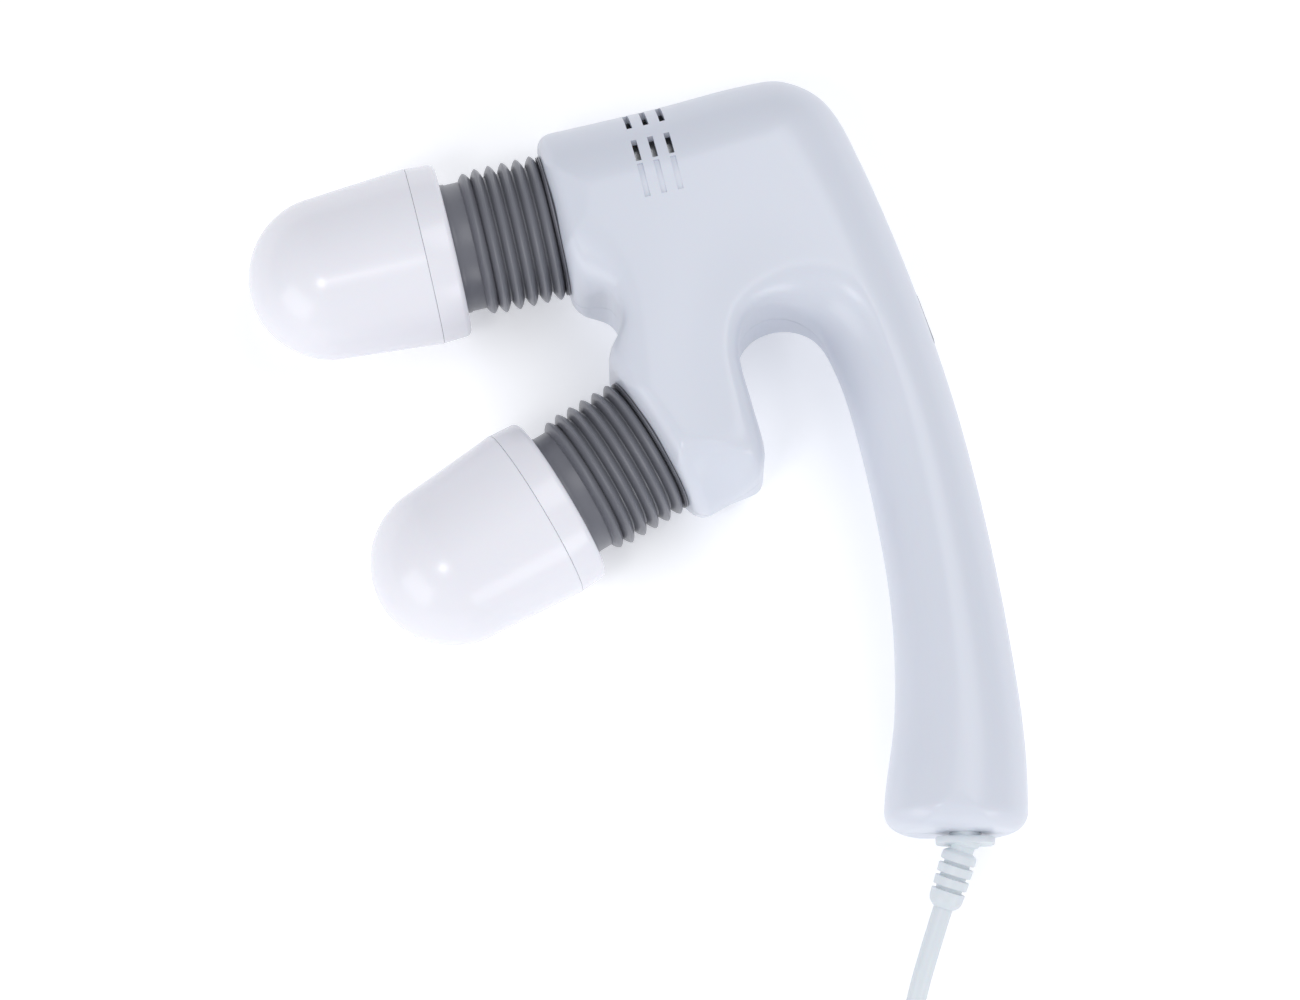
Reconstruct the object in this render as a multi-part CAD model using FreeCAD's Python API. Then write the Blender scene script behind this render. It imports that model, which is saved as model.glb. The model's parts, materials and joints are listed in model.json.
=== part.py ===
import FreeCAD, Part
import math
import os
from FreeCAD import Vector

# Twin-head handheld kneading massager, lying on its side.  Millimetres, +Z up.
# The housing parts at mid thickness.  Two swing arms carry the heads; their pivots are in the two necks.
# "Neck" coordinates: x from the pivot towards the head, y across in the swing plane, z from mid thickness.
# "Drive" coordinates: x from the upper bellows seat into the body, y across, z from mid thickness.

# ---------------------------------------------------------------- driving dimensions
MID_Z = 30.5                # height of the parting plane; the barrels rest on z = 0
WALL = 2.5                  # housing wall
BARREL_R = 30.5             # round neck barrels of the housing
BARREL_EDGE_R = 5.0         # rounding round each barrel face
FACE_OPENING_R = 19.0       # hole in each barrel face for the swing arm
SLAB_HALF = 26.0            # half thickness of the flat-sided body
SLAB_EDGE_R = 5.0

UPPER = {"name": "upper", "seat": (-27.5, 91.3), "tilt": 13.5, "barrel_back": -48.0, "first_tooth": 0.0}
LOWER = {"name": "lower", "seat": (4.95, 15.9), "tilt": 31.5, "barrel_back": 0.0, "first_tooth": 0.5}
SEAT_X = 24.0               # bellows seat flange from the pivot, in neck coordinates
FACE_X = SEAT_X - 0.9       # barrel face
HEAD_X = SEAT_X + 34.3      # back face of the head

HEAD_LENGTH = 69.2
COLLAR_LENGTH = 9.8
COLLAR_BACK_R = 29.4
HEAD_R = 30.0
NOSE_R = 27.4
NOSE_CENTRE = 41.8          # centre of the round nose from the back of the head
DOME_WALL = 2.4
SEAM = 0.3                  # gap between collar and dome

RIDGE_R = 24.65
FIRST_RIDGE_R = 24.0
VALLEY_R = 21.3
CUFF_R = 21.5
FLANGE_R = 23.95
RUBBER = 1.5
RIDGE_X = [2.55, 7.25, 11.95, 16.65, 21.35, 25.5]   # ridge crowns from the seat flange
SPIGOT_R = 18.9             # hub spigot inside the cuff

PIN_R = 3.0                 # pivot pins
RUNNING = 0.05              # radial running clearance
ARM_R = 9.0
BOSS_R = 7.0
BOSS_HALF = 9.0
SWING_TEETH = 50            # full-circle tooth count of each sector gear
SECTOR_LOW = 9.0            # sector plate, above mid thickness
SECTOR_HIGH = 13.5
BACKLASH = 0.4

PLATE_LOW = 11.0            # base plate of the drive frame
PLATE_HIGH = 48.0           # underside of its top plate
PLATE_THICK = 2.0
PLATE_OUTLINE = [(-10, 84, 4), (-15, 104, 5), (-6, 116, 5), (38, 124, 6), (66, 115, 6), (76, 96, 5),
                 (66, 85, 5), (46, 77, 5), (29, 67, 6), (27, 44, 6), (31, 28, 5), (30, 20, 4), (18, 19, 4),
                 (16, 36, 5), (1.5, 44, 3), (1.5, 50, 3), (9, 57, 5), (-2, 77, 5)]
PILLARS = [(-2.9, 111.1), (70.6, 96.8), (42.0, 81.5), (3.9, 45.0)]
PILLAR_R = 2.5
FRAME_SCREWS = [(-2.5, 85.0), (28.5, 114.0), (64.0, 91.0), (20.0, 42.0)]

MOTOR_Y = 11.0              # motor axis, drive coordinates
MOTOR_R = 15.0
MOTOR_FRONT = 38.0
MOTOR_BACK = 68.0
SHAFT_R = 1.6
WORM_START, WORM_END = 78.0, 91.0
WORM_PITCH_R = 3.5
WORM_MODULE = 1.0
WORM_PHASE = 0.0            # turn of the worm that puts a thread gap opposite a wheel tooth
WHEEL_TEETH = 26
WHEEL_SHAFT_R = 2.5
WHEEL_X = 84.5
WHEEL_Y = MOTOR_Y - WORM_PITCH_R - WORM_MODULE * WHEEL_TEETH / 2
CRANK_R = 2.1               # crank pin from the wheel's centre
ROD_PIN = (24.0, -20.0)     # rod pin on the upper sector gear, drive coordinates
ROD_LOW, ROD_HIGH = 4.0, 8.0
ROD_EYE_R = 6.1             # wide eye round the crank pin: the linkage is open here

# housing screws: x, y, height of the head's seat
HOUSING_SCREWS = [(-20.7, 114.5, 14.0), (78.0, 79.0, 12.0), (29.0, 6.6, 14.0), (0.6, 37.6, 14.0),
                  (88.0, 38.0, 17.0), (111.5, -62.0, 17.0), (50.0, 70.0, 12.0)]
SCREW_R = 1.5

# flat-sided body outline: x, y, corner radius
SLAB_OUTLINE = [(-14, 117, 8), (57.5, 145, 26), (79.5, 106, 30), (99.5, 50, 6), (66, 47, 4), (62, 60, 11),
                (37, 59.5, 9), (34.3, 42, 20), (43.3, 9, 8), (40, 0.5, 6), (28, -5, 3), (-3, 44, 4),
                (-4.6, 52, 6), (-2, 63.5, 7), (-14, 66, 3)]
# handle sections: centre x, centre y, heading of the handle, half width, half thickness
HANDLE_SECTIONS = [(82.0, 70.0, -68, 17.0, 24.0), (88.2, 31.4, -73, 16.9, 21.5), (98.0, -9.0, -77, 17.6, 20.0),
                   (104.6, -50.0, -83, 19.0, 20.0), (106.3, -85.0, -89, 21.9, 21.0),
                   (105.7, -105.0, -91, 23.4, 21.5), (105.7, -114.3, -90, 23.6, 21.5)]
HANDLE_END_R = 7.0

VENT_COLUMNS = [31.6, 37.2, 42.8]         # distance of each column of slots from the upper seat
VENT_WIDTH = 1.9
VENT_ROWS = [(10.0, 47.0), (59.5, 76.0)]  # open slots, degrees round the barrel from its outer edge
BLIND_ROW = (78.0, 100.0)                 # shallow grooves that carry the pattern on
BLIND_DEPTH = 0.7

SWITCH_AT = (96.2, 58.0)
SWITCH_HEADING = 19.5       # outward normal of the spine there, degrees

RELIEF_BASE = Vector(108.4, -114.3, MID_Z)
RELIEF_AIM = Vector(-0.302, -0.927, -0.222).normalize()
RELIEF_LENGTH = 25.5
CORD_R = 3.25
COIL_CENTRE = (42.0, -230.7)
COIL_LAYER_TURNS = 3.625
COIL_MIDDLE_R = 35.75
COIL_LIFT = 0.8             # the tie passes under the coil
TIE_THICK = 0.7
COIL_HALF_BAND = COIL_LAYER_TURNS * CORD_R
COIL_OUTER_R = COIL_MIDDLE_R + COIL_HALF_BAND    # centre line of the outermost turn
STUB = 27.0                 # straight leads that leave the coil
LAYER_1_Z = COIL_LIFT + CORD_R
LAYER_2_Z = LAYER_1_Z + 2 * CORD_R
PLUG_HALF_HEIGHT = 8.5
RELIEF_ROOT = RELIEF_BASE + Vector(0, -1.6, 0)                  # where the leaning sleeve starts
RELIEF_TIP = RELIEF_ROOT + RELIEF_AIM * (RELIEF_LENGTH - 1.6)   # where the cord comes out of it
CORD_ROUTE = [RELIEF_TIP, RELIEF_TIP + RELIEF_AIM * 18.0, (91.8, -169.6, 11.7),
              (COIL_CENTRE[0] + COIL_OUTER_R, COIL_CENTRE[1] + STUB + 18.0, LAYER_1_Z),
              (COIL_CENTRE[0] + COIL_OUTER_R, COIL_CENTRE[1] + STUB, LAYER_1_Z)]
TAIL_Y = COIL_CENTRE[1] - COIL_OUTER_R
TAIL_ROUTE = [(COIL_CENTRE[0] - STUB, TAIL_Y, LAYER_2_Z), (-3.0, TAIL_Y, LAYER_2_Z), (-20.5, TAIL_Y - 2.8, 9.0),
              (-36.0, TAIL_Y - 8.5, PLUG_HALF_HEIGHT), (-50.5, TAIL_Y - 16.5, PLUG_HALF_HEIGHT)]

Z_AXIS = Vector(0, 0, 1)
X_AXIS = Vector(1, 0, 0)


# ---------------------------------------------------------------- small helpers
def save(name, shape):
    shape.exportStep("parts/" + name + ".step")


def rod(radius, low, high, x=0.0, y=0.0):
    """Round bar along z."""
    return Part.makeCylinder(radius, high - low, Vector(x, y, low), Z_AXIS)


def bar(radius, start, end, y=0.0, z=0.0):
    """Round bar along x."""
    return Part.makeCylinder(radius, end - start, Vector(start, y, z), X_AXIS)


def tube(radius, bore, start, end, y=0.0):
    """Round tube along x."""
    return bar(radius, start, end, y).cut(bar(bore, start - 1, end + 1, y))


def block(low, high):
    size = [h - l for l, h in zip(low, high)]
    return Part.makeBox(size[0], size[1], size[2], Vector(*low))


def rounded_face(outline):
    """Flat face at z = 0 from corner points with their own corner radii."""
    ends = []
    count = len(outline)
    for i in range(count):
        before = Vector(outline[i - 1][0], outline[i - 1][1], 0)
        corner = Vector(outline[i][0], outline[i][1], 0)
        after = Vector(outline[(i + 1) % count][0], outline[(i + 1) % count][1], 0)
        to_before = (before - corner).normalize()
        to_after = (after - corner).normalize()
        half_angle = to_before.getAngle(to_after) / 2
        setback = outline[i][2] / math.tan(half_angle)
        start = corner + to_before * setback
        end = corner + to_after * setback
        middle_dir = (to_before + to_after).normalize()
        middle = corner + middle_dir * (outline[i][2] / math.sin(half_angle) - outline[i][2])
        ends.append((start, end, middle))
    edges = []
    for i in range(count):
        start, end, middle = ends[i]
        edges.append(Part.Arc(start, middle, end).toShape())
        edges.append(Part.LineSegment(end, ends[(i + 1) % count][0]).toShape())
    face = Part.Face(Part.Wire(edges))
    if face.normalAt(0, 0).z < 0:
        face.reverse()
    return face


def spun(profile):
    """Solid of revolution about x from (x, radius) points."""
    points = [Vector(x, 0, r) for x, r in profile]
    wire = Part.makePolygon(points + [points[0]])
    return Part.Face(wire).revolve(Vector(0, 0, 0), X_AXIS, 360)


def outward(neck):
    heading = math.radians(180 + neck["tilt"])
    return Vector(math.cos(heading), math.sin(heading), 0)


def pivot(neck):
    return Vector(neck["seat"][0], neck["seat"][1], MID_Z) - outward(neck) * SEAT_X


def from_neck(shape, neck):
    """Move a shape from neck coordinates to its place."""
    placed = shape.copy()
    placed.rotate(Vector(0, 0, 0), Z_AXIS, 180 + neck["tilt"])
    placed.translate(pivot(neck))
    return placed


def from_drive(shape):
    """Move a shape from drive coordinates to its place."""
    placed = shape.copy()
    placed.rotate(Vector(0, 0, 0), Z_AXIS, UPPER["tilt"])
    placed.translate(Vector(UPPER["seat"][0], UPPER["seat"][1], MID_Z))
    return placed


def drive_point(x, y):
    angle = math.radians(UPPER["tilt"])
    return (UPPER["seat"][0] + x * math.cos(angle) - y * math.sin(angle),
            UPPER["seat"][1] + x * math.sin(angle) + y * math.cos(angle))


# ---------------------------------------------------------------- housing
def ellipse_wire(section, inset):
    """Elliptical handle section, square to the handle's heading."""
    x, y, heading, half_width, half_thick = section
    across = half_width - inset
    up = half_thick - inset
    edge = Part.Ellipse(Vector(0, 0, 0), max(across, up), min(across, up)).toShape()
    if up > across:
        edge.rotate(Vector(0, 0, 0), Z_AXIS, 90)
    wire = Part.Wire([edge])
    wire.rotate(Vector(0, 0, 0), X_AXIS, 90)
    wire.rotate(Vector(0, 0, 0), Z_AXIS, heading + 90)
    wire.translate(Vector(x, y, MID_Z))
    return wire


def barrel(neck, inset):
    start = neck["barrel_back"]
    end = FACE_X - inset
    body = bar(BARREL_R - inset, start, end)
    rim = [edge for edge in body.Edges if abs(edge.CenterOfMass.x - end) < 0.01 and edge.Closed]
    body = body.makeFillet(BARREL_EDGE_R - inset, rim[:1]).Solids[0]
    return from_neck(body, neck)


def slab(inset):
    face = rounded_face(SLAB_OUTLINE)
    if inset:
        face = face.makeOffset2D(-inset)
    half = SLAB_HALF - inset
    face.translate(Vector(0, 0, MID_Z - half))
    body = face.extrude(Vector(0, 0, 2 * half))
    rims = [edge for edge in body.Edges
            if abs(abs(edge.CenterOfMass.z - MID_Z) - half) < 0.01]
    return body.makeFillet(SLAB_EDGE_R - inset, rims).Solids[0]


def handle(inset):
    sections = [list(section) for section in HANDLE_SECTIONS]
    sections[-1][1] += inset
    wires = [ellipse_wire(section, inset) for section in sections]
    body = Part.makeLoft(wires, True, False)
    end_y = sections[-1][1]
    rim = [edge for edge in body.Edges if abs(edge.BoundBox.YMin - end_y) < 0.05
           and abs(edge.BoundBox.YMax - end_y) < 0.05]
    return body.makeFillet(HANDLE_END_R - inset, rim).Solids[0]


def body_solid(inset):
    return barrel(UPPER, inset).multiFuse([barrel(LOWER, inset), slab(inset), handle(inset)])


def slot(column, low, high, inner_r):
    """One cooling slot about the barrel axis, from angle low to high off its outer edge."""
    corners = [Vector(column - VENT_WIDTH / 2, inner_r, 0), Vector(column + VENT_WIDTH / 2, inner_r, 0),
               Vector(column + VENT_WIDTH / 2, BARREL_R + 4, 0), Vector(column - VENT_WIDTH / 2, BARREL_R + 4, 0)]
    face = Part.Face(Part.makePolygon(corners + [corners[0]]))
    face.rotate(Vector(0, 0, 0), X_AXIS, low)
    return from_drive(face.revolve(Vector(0, 0, 0), X_AXIS, high - low))


def slots():
    """Three columns of cooling slots on each side of the parting plane."""
    cuts = []
    for column in VENT_COLUMNS:
        for low, high in VENT_ROWS:
            cuts.append(slot(column, low, high, BARREL_R - WALL - 2))
            cuts.append(slot(column, -high, -low, BARREL_R - WALL - 2))
        cuts.append(slot(column, BLIND_ROW[0], BLIND_ROW[1], BARREL_R - BLIND_DEPTH))
        cuts.append(slot(column, -BLIND_ROW[1], -BLIND_ROW[0], BARREL_R - BLIND_DEPTH))
    return cuts


def make_housing():
    outer = body_solid(0)
    inner = body_solid(WALL)
    shell = outer.cut(inner)
    openings = [from_neck(bar(FACE_OPENING_R, FACE_X - 6, FACE_X + 1), neck) for neck in (UPPER, LOWER)]
    for opening in openings + [relief_hole(), switch_cut()] + slots():
        shell = shell.cut(opening)
    big = 600
    lower_half = block((-big, -big, -1), (big, big, MID_Z))
    upper_half = block((-big, -big, MID_Z), (big, big, 2 * MID_Z + 1))
    back = shell.common(lower_half)
    front = shell.common(upper_half)
    for x, y, seat in HOUSING_SCREWS:
        back = back.fuse(rod(5.0, 1, MID_Z, x, y).common(outer))
        back = back.cut(rod(3.2, 0, seat, x, y)).cut(rod(SCREW_R + 0.2, seat - 1, MID_Z + 1, x, y))
        front = front.fuse(rod(4.0, MID_Z, 2 * MID_Z, x, y).common(outer))
        front = front.cut(rod(SCREW_R, MID_Z - 1, MID_Z + 12.5, x, y))
    for x, y in FRAME_SCREWS:
        back = back.fuse(rod(3.6, 1, PLATE_LOW, x, y).common(outer))
        back = back.cut(rod(1.25, PLATE_LOW - 5, PLATE_LOW + 1, x, y))
    return front.removeSplitter(), back.removeSplitter()


def make_housing_screws():
    screws = []
    for x, y, seat in HOUSING_SCREWS:
        head = rod(2.8, seat - 2.2, seat, x, y)
        screws.append(head.fuse(rod(SCREW_R, seat, MID_Z + 12, x, y)))
    return Part.makeCompound(screws)


# ---------------------------------------------------------------- bellows and heads
def bellows():
    """Rubber boot: seat flange, six ridges and the cuff that grips the head's spigot."""
    half_tip = 0.75
    foot = 1.75
    bore = VALLEY_R - RUBBER
    outer = [(FACE_X, FLANGE_R), (FACE_X + 1.6, FLANGE_R), (FACE_X + 1.6, VALLEY_R)]
    inner = [(FACE_X, bore)]
    for offset in RIDGE_X:
        x = SEAT_X + offset
        crown = FIRST_RIDGE_R if offset == RIDGE_X[-1] else RIDGE_R
        outer += [(x - foot, VALLEY_R), (x - half_tip, crown), (x + half_tip, crown), (x + foot, VALLEY_R)]
        inner += [(x - foot + 0.6, bore), (x, crown - RUBBER - 0.6), (x + foot - 0.6, bore)]
    outer += [(HEAD_X - 6.8, CUFF_R), (HEAD_X, CUFF_R)]
    inner += [(HEAD_X - 6.3, bore), (HEAD_X - 6.1, SPIGOT_R + 0.1), (HEAD_X, SPIGOT_R + 0.1)]
    return spun(outer + inner[::-1])


def dome_profile(inset):
    """Half section of the dome from the seam to the nose, offset inwards by inset."""
    start = Vector(HEAD_X + COLLAR_LENGTH + SEAM, 0, HEAD_R - inset)
    centre = Vector(HEAD_X + NOSE_CENTRE, 0, 0)
    radius = NOSE_R - inset
    reach = (centre - start).Length
    to_centre = math.atan2(centre.z - start.z, centre.x - start.x)
    slope = to_centre + math.asin(radius / reach)
    touch = start + Vector(math.cos(slope), 0, math.sin(slope)) * math.sqrt(reach ** 2 - radius ** 2)
    tip = centre + Vector(radius, 0, 0)
    middle_angle = math.atan2(touch.z, touch.x - centre.x) / 2
    middle = centre + Vector(math.cos(middle_angle), 0, math.sin(middle_angle)) * radius
    foot = Vector(start.x, 0, 0)
    edges = [Part.LineSegment(start, touch), Part.Arc(touch, middle, tip), Part.LineSegment(tip, foot),
             Part.LineSegment(foot, start)]
    face = Part.Face(Part.Wire([edge.toShape() for edge in edges]))
    return face.revolve(Vector(0, 0, 0), X_AXIS, 360)


def dome():
    return dome_profile(0).cut(dome_profile(DOME_WALL))


def collar():
    back = HEAD_X
    front = HEAD_X + COLLAR_LENGTH
    edge = 1.2
    outer = [(back, SPIGOT_R + 0.1), (back, COLLAR_BACK_R - edge), (back + edge, COLLAR_BACK_R), (front, HEAD_R),
             (front, HEAD_R - DOME_WALL), (back + 2.2, HEAD_R - DOME_WALL), (back + 2.2, SPIGOT_R + 0.1)]
    return spun(outer)


def hub():
    """Disc inside the collar with a spigot that carries the bellows cuff."""
    x = HEAD_X
    disc = bar(HEAD_R - DOME_WALL - 0.1, x + 2.2, x + 5.2)
    spigot = tube(SPIGOT_R, 13.0, x - 6.0, x + 2.2)
    return disc.fuse(spigot).cut(bar(2.6, x + 2, x + 6))


def arm():
    """Swing arm: cross boss on the pivot pin, round beam and end flange that the hub bolts to."""
    beam = bar(ARM_R, 8.0, HEAD_X + 2.2)
    flange = bar(12.8, HEAD_X - 1.5, HEAD_X + 2.2)
    boss = rod(BOSS_R, -BOSS_HALF, BOSS_HALF)
    web = block((0, -5.0, -6.5), (10, 5.0, 6.5))
    shape = beam.fuse(flange).fuse(boss).fuse(web)
    shape = shape.cut(rod(PIN_R + RUNNING, -20, 20))
    return shape.cut(bar(2.5, HEAD_X - 12, HEAD_X + 4))


def hub_screw():
    head = bar(4.5, HEAD_X + 5.2, HEAD_X + 8.4).cut(bar(2.2, HEAD_X + 6.4, HEAD_X + 9))
    return head.fuse(bar(2.5, HEAD_X - 11.5, HEAD_X + 5.2))


def mesh_distance():
    return (pivot(UPPER) - pivot(LOWER)).Length


def mesh_angle(neck):
    """Direction of the other pivot, in neck coordinates."""
    other = LOWER if neck is UPPER else UPPER
    line = pivot(other) - pivot(neck)
    return math.degrees(math.atan2(line.y, line.x)) - 180 - neck["tilt"]


def tooth_prism(pitch_r, module, angle, low, high, backlash, depth):
    """One straight-flanked gear tooth, radially outwards at the given angle."""
    half = math.pi * module / 4 - backlash / 2
    slope = math.tan(math.radians(20))
    root = pitch_r - depth
    tip = pitch_r + 0.85 * module
    corners = [(root, half + slope * depth), (tip, half - slope * 0.85 * module)]
    points = [Vector(corners[0][0], corners[0][1], low), Vector(corners[1][0], corners[1][1], low),
              Vector(corners[1][0], -corners[1][1], low), Vector(corners[0][0], -corners[0][1], low)]
    prism = Part.Face(Part.makePolygon(points + [points[0]])).extrude(Vector(0, 0, high - low))
    prism.rotate(Vector(0, 0, 0), Z_AXIS, angle)
    return prism


def sector_gear(neck):
    """Toothed sector on the pivot pin; the two sectors mesh midway between the pivots."""
    pitch_r = mesh_distance() / 2
    module = 2 * pitch_r / SWING_TEETH
    step = 360 / SWING_TEETH
    root = pitch_r - 1.25 * module
    teeth = [-1, 0, 1] if neck["first_tooth"] == 0 else [-1.5, -0.5, 0.5, 1.5]
    half_span = math.radians((abs(teeth[0]) + 0.35) * step)
    rim = [Vector(root * math.cos(a), root * math.sin(a), SECTOR_LOW) for a in (-half_span, 0, half_span)]
    edges = [Part.LineSegment(Vector(0, -5, SECTOR_LOW), rim[0]), Part.Arc(*rim),
             Part.LineSegment(rim[2], Vector(0, 5, SECTOR_LOW)),
             Part.LineSegment(Vector(0, 5, SECTOR_LOW), Vector(0, -5, SECTOR_LOW))]
    plate = Part.Face(Part.Wire([edge.toShape() for edge in edges])).extrude(
        Vector(0, 0, SECTOR_HIGH - SECTOR_LOW))
    plate = plate.fuse(rod(BOSS_R, SECTOR_LOW, SECTOR_HIGH))
    for tooth in teeth:
        plate = plate.fuse(tooth_prism(pitch_r, module, tooth * step, SECTOR_LOW, SECTOR_HIGH, BACKLASH, 2.4))
    plate.rotate(Vector(0, 0, 0), Z_AXIS, mesh_angle(neck))
    return plate.cut(rod(PIN_R + RUNNING, 0, 20)).removeSplitter()


# ---------------------------------------------------------------- drive frame
def plate_face(height):
    face = rounded_face(PLATE_OUTLINE)
    face.translate(Vector(0, 0, height))
    return face.extrude(Vector(0, 0, PLATE_THICK))


def fixed_pins():
    """Places of the two pivot pins and the wheel shaft."""
    wheel = drive_point(WHEEL_X, WHEEL_Y)
    return [(pivot(UPPER).x, pivot(UPPER).y, PIN_R), (pivot(LOWER).x, pivot(LOWER).y, PIN_R),
            (wheel[0], wheel[1], WHEEL_SHAFT_R)]


def make_base_plate():
    plate = plate_face(PLATE_LOW)
    for x, y, radius in fixed_pins():
        plate = plate.cut(rod(radius, 0, 50, x, y))
    for x, y in FRAME_SCREWS:
        plate = plate.cut(rod(1.6, 0, 50, x, y))
    for x, y in PILLARS:
        plate = plate.cut(rod(1.25, 0, 50, x, y))
    return plate


def make_top_plate():
    plate = plate_face(PLATE_HIGH)
    for x, y, radius in fixed_pins()[:2]:
        plate = plate.cut(rod(radius, 0, 60, x, y))
    for x, y in PILLARS:
        plate = plate.cut(rod(1.25, 0, 60, x, y))
    return plate


def make_pillars():
    bars = []
    for x, y in PILLARS:
        post = rod(PILLAR_R, PLATE_LOW + PLATE_THICK, PLATE_HIGH, x, y)
        bars.append(post.fuse(rod(1.25, PLATE_LOW, PLATE_HIGH + PLATE_THICK, x, y)))
    return Part.makeCompound(bars)


def make_frame_screws():
    screws = []
    for x, y in FRAME_SCREWS:
        top = PLATE_LOW + PLATE_THICK
        screws.append(rod(1.25, PLATE_LOW - 4.5, top, x, y).fuse(rod(2.6, top, top + 1.8, x, y)))
    return Part.makeCompound(screws)


def pivot_pin(neck):
    place = pivot(neck)
    return rod(PIN_R, PLATE_LOW, PLATE_HIGH + PLATE_THICK, place.x, place.y)


def pivot_bush(neck):
    """Spacer bush on the pin, between base plate and arm."""
    place = pivot(neck)
    low = PLATE_LOW + PLATE_THICK
    high = MID_Z - BOSS_HALF - 0.1
    return rod(5.0, low, high, place.x, place.y).cut(rod(PIN_R, low - 1, high + 1, place.x, place.y))


def retaining_clip(neck):
    place = pivot(neck)
    low = MID_Z + SECTOR_HIGH + 0.1
    ring = rod(5.2, low, low + 0.8, place.x, place.y).cut(rod(PIN_R, low - 1, low + 2, place.x, place.y))
    return ring.cut(block((place.x, place.y - 1.5, low - 1), (place.x + 8, place.y + 1.5, low + 2)))


# ---------------------------------------------------------------- motor and drive train, drive coordinates
def motor_can():
    can = tube(MOTOR_R, MOTOR_R - 1.3, MOTOR_FRONT, MOTOR_BACK - 3, MOTOR_Y)
    wall = tube(MOTOR_R, 4.0, MOTOR_FRONT, MOTOR_FRONT + 1.3, MOTOR_Y)
    return can.fuse(wall)


def motor_end_cap():
    cap = tube(MOTOR_R, 4.0, MOTOR_BACK - 3, MOTOR_BACK, MOTOR_Y)
    for side in (-1, 1):
        cap = cap.cut(bar(1.3, MOTOR_BACK - 2.5, MOTOR_BACK + 1, MOTOR_Y, side * 9))
    return cap


def motor_bush(start):
    return tube(4.0, SHAFT_R + RUNNING, start, start + 3, MOTOR_Y)


def field_magnets():
    ring = tube(MOTOR_R - 1.3, 11.2, 42.0, 60.0, MOTOR_Y)
    gap = block((40, MOTOR_Y - 20, -3.5), (62, MOTOR_Y + 20, 3.5))
    return ring.cut(gap)


def armature():
    """Three-pole laminated armature."""
    core = tube(10.9, SHAFT_R, 43.0, 58.0, MOTOR_Y)
    for i in range(3):
        groove = block((42, -1.2, 5.0), (59, 1.2, 12.0))
        groove.rotate(Vector(0, 0, 0), X_AXIS, 120 * i)
        groove.translate(Vector(0, MOTOR_Y, 0))
        core = core.cut(groove)
    return core


def commutator():
    return tube(4.0, SHAFT_R, 59.5, 63.5, MOTOR_Y)


def brushes():
    pair = []
    for side in (-1, 1):
        low, high = sorted((side * 4.1, side * 9.0))
        pair.append(block((60, MOTOR_Y + low, -1.5), (63, MOTOR_Y + high, 1.5)))
    return Part.makeCompound(pair)


def motor_shaft():
    return bar(SHAFT_R, 34.5, WORM_END + 1, MOTOR_Y)


def cooling_fan():
    fan = tube(4.0, SHAFT_R, 34.6, 37.4, MOTOR_Y)
    for i in range(8):
        blade = block((34.8, -0.4, 3.5), (37.2, 0.4, 12.5))
        blade.rotate(Vector(36, 0, 8), Z_AXIS, 35)
        blade.rotate(Vector(0, 0, 0), X_AXIS, 45 * i)
        blade.translate(Vector(0, MOTOR_Y, 0))
        fan = fan.fuse(blade)
    return fan


def worm():
    """Single-start worm: a core with one helical thread."""
    pitch = math.pi * WORM_MODULE
    core_r = WORM_PITCH_R - 1.25 * WORM_MODULE
    tip_r = WORM_PITCH_R + 0.7
    length = WORM_END - WORM_START
    helix = Part.makeHelix(pitch, length - 3.0, core_r)
    root, tip = 0.55, 0.3
    inside = core_r - 0.3
    points = [Vector(inside, 0, -root), Vector(tip_r, 0, -tip), Vector(tip_r, 0, tip), Vector(inside, 0, root)]
    thread = Part.Wire(helix.Edges).makePipeShell([Part.makePolygon(points + [points[0]])], True, True)
    thread.translate(Vector(0, 0, 1.5))
    body = rod(core_r, 0, length).fuse(thread)
    body.rotate(Vector(0, 0, 0), Vector(0, 1, 0), 90)
    body.rotate(Vector(0, 0, 0), X_AXIS, WORM_PHASE)
    body.translate(Vector(WORM_START, MOTOR_Y, 0))
    return body.cut(bar(SHAFT_R, WORM_START - 1, WORM_END + 1, MOTOR_Y))


def worm_wheel():
    """Worm wheel; its teeth face the worm."""
    pitch_r = WORM_MODULE * WHEEL_TEETH / 2
    wheel = rod(pitch_r - 1.2, -2.0, 2.0).fuse(rod(5.0, -3.0, 3.0))
    for i in range(WHEEL_TEETH):
        angle = 90 + (i + 0.5) * 360 / WHEEL_TEETH
        wheel = wheel.fuse(tooth_prism(pitch_r, WORM_MODULE, angle, -2.0, 2.0, 0.75, 1.4))
    wheel = wheel.cut(rod(WHEEL_SHAFT_R + RUNNING, -5, 1.8))
    wheel.translate(Vector(WHEEL_X, WHEEL_Y, 0))
    return wheel


def crank_pin():
    """Pin on the top face of the wheel, at mid stroke."""
    dx, dy = ROD_PIN[0] - WHEEL_X, ROD_PIN[1] - WHEEL_Y
    reach = math.hypot(dx, dy)
    x = WHEEL_X - dy / reach * CRANK_R
    y = WHEEL_Y + dx / reach * CRANK_R
    return rod(1.4, 3.0, ROD_HIGH + 1, x, y)


def wheel_shaft():
    x, y = drive_point(WHEEL_X, WHEEL_Y)
    return rod(WHEEL_SHAFT_R, PLATE_LOW, MID_Z + 1.7, x, y)


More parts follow.
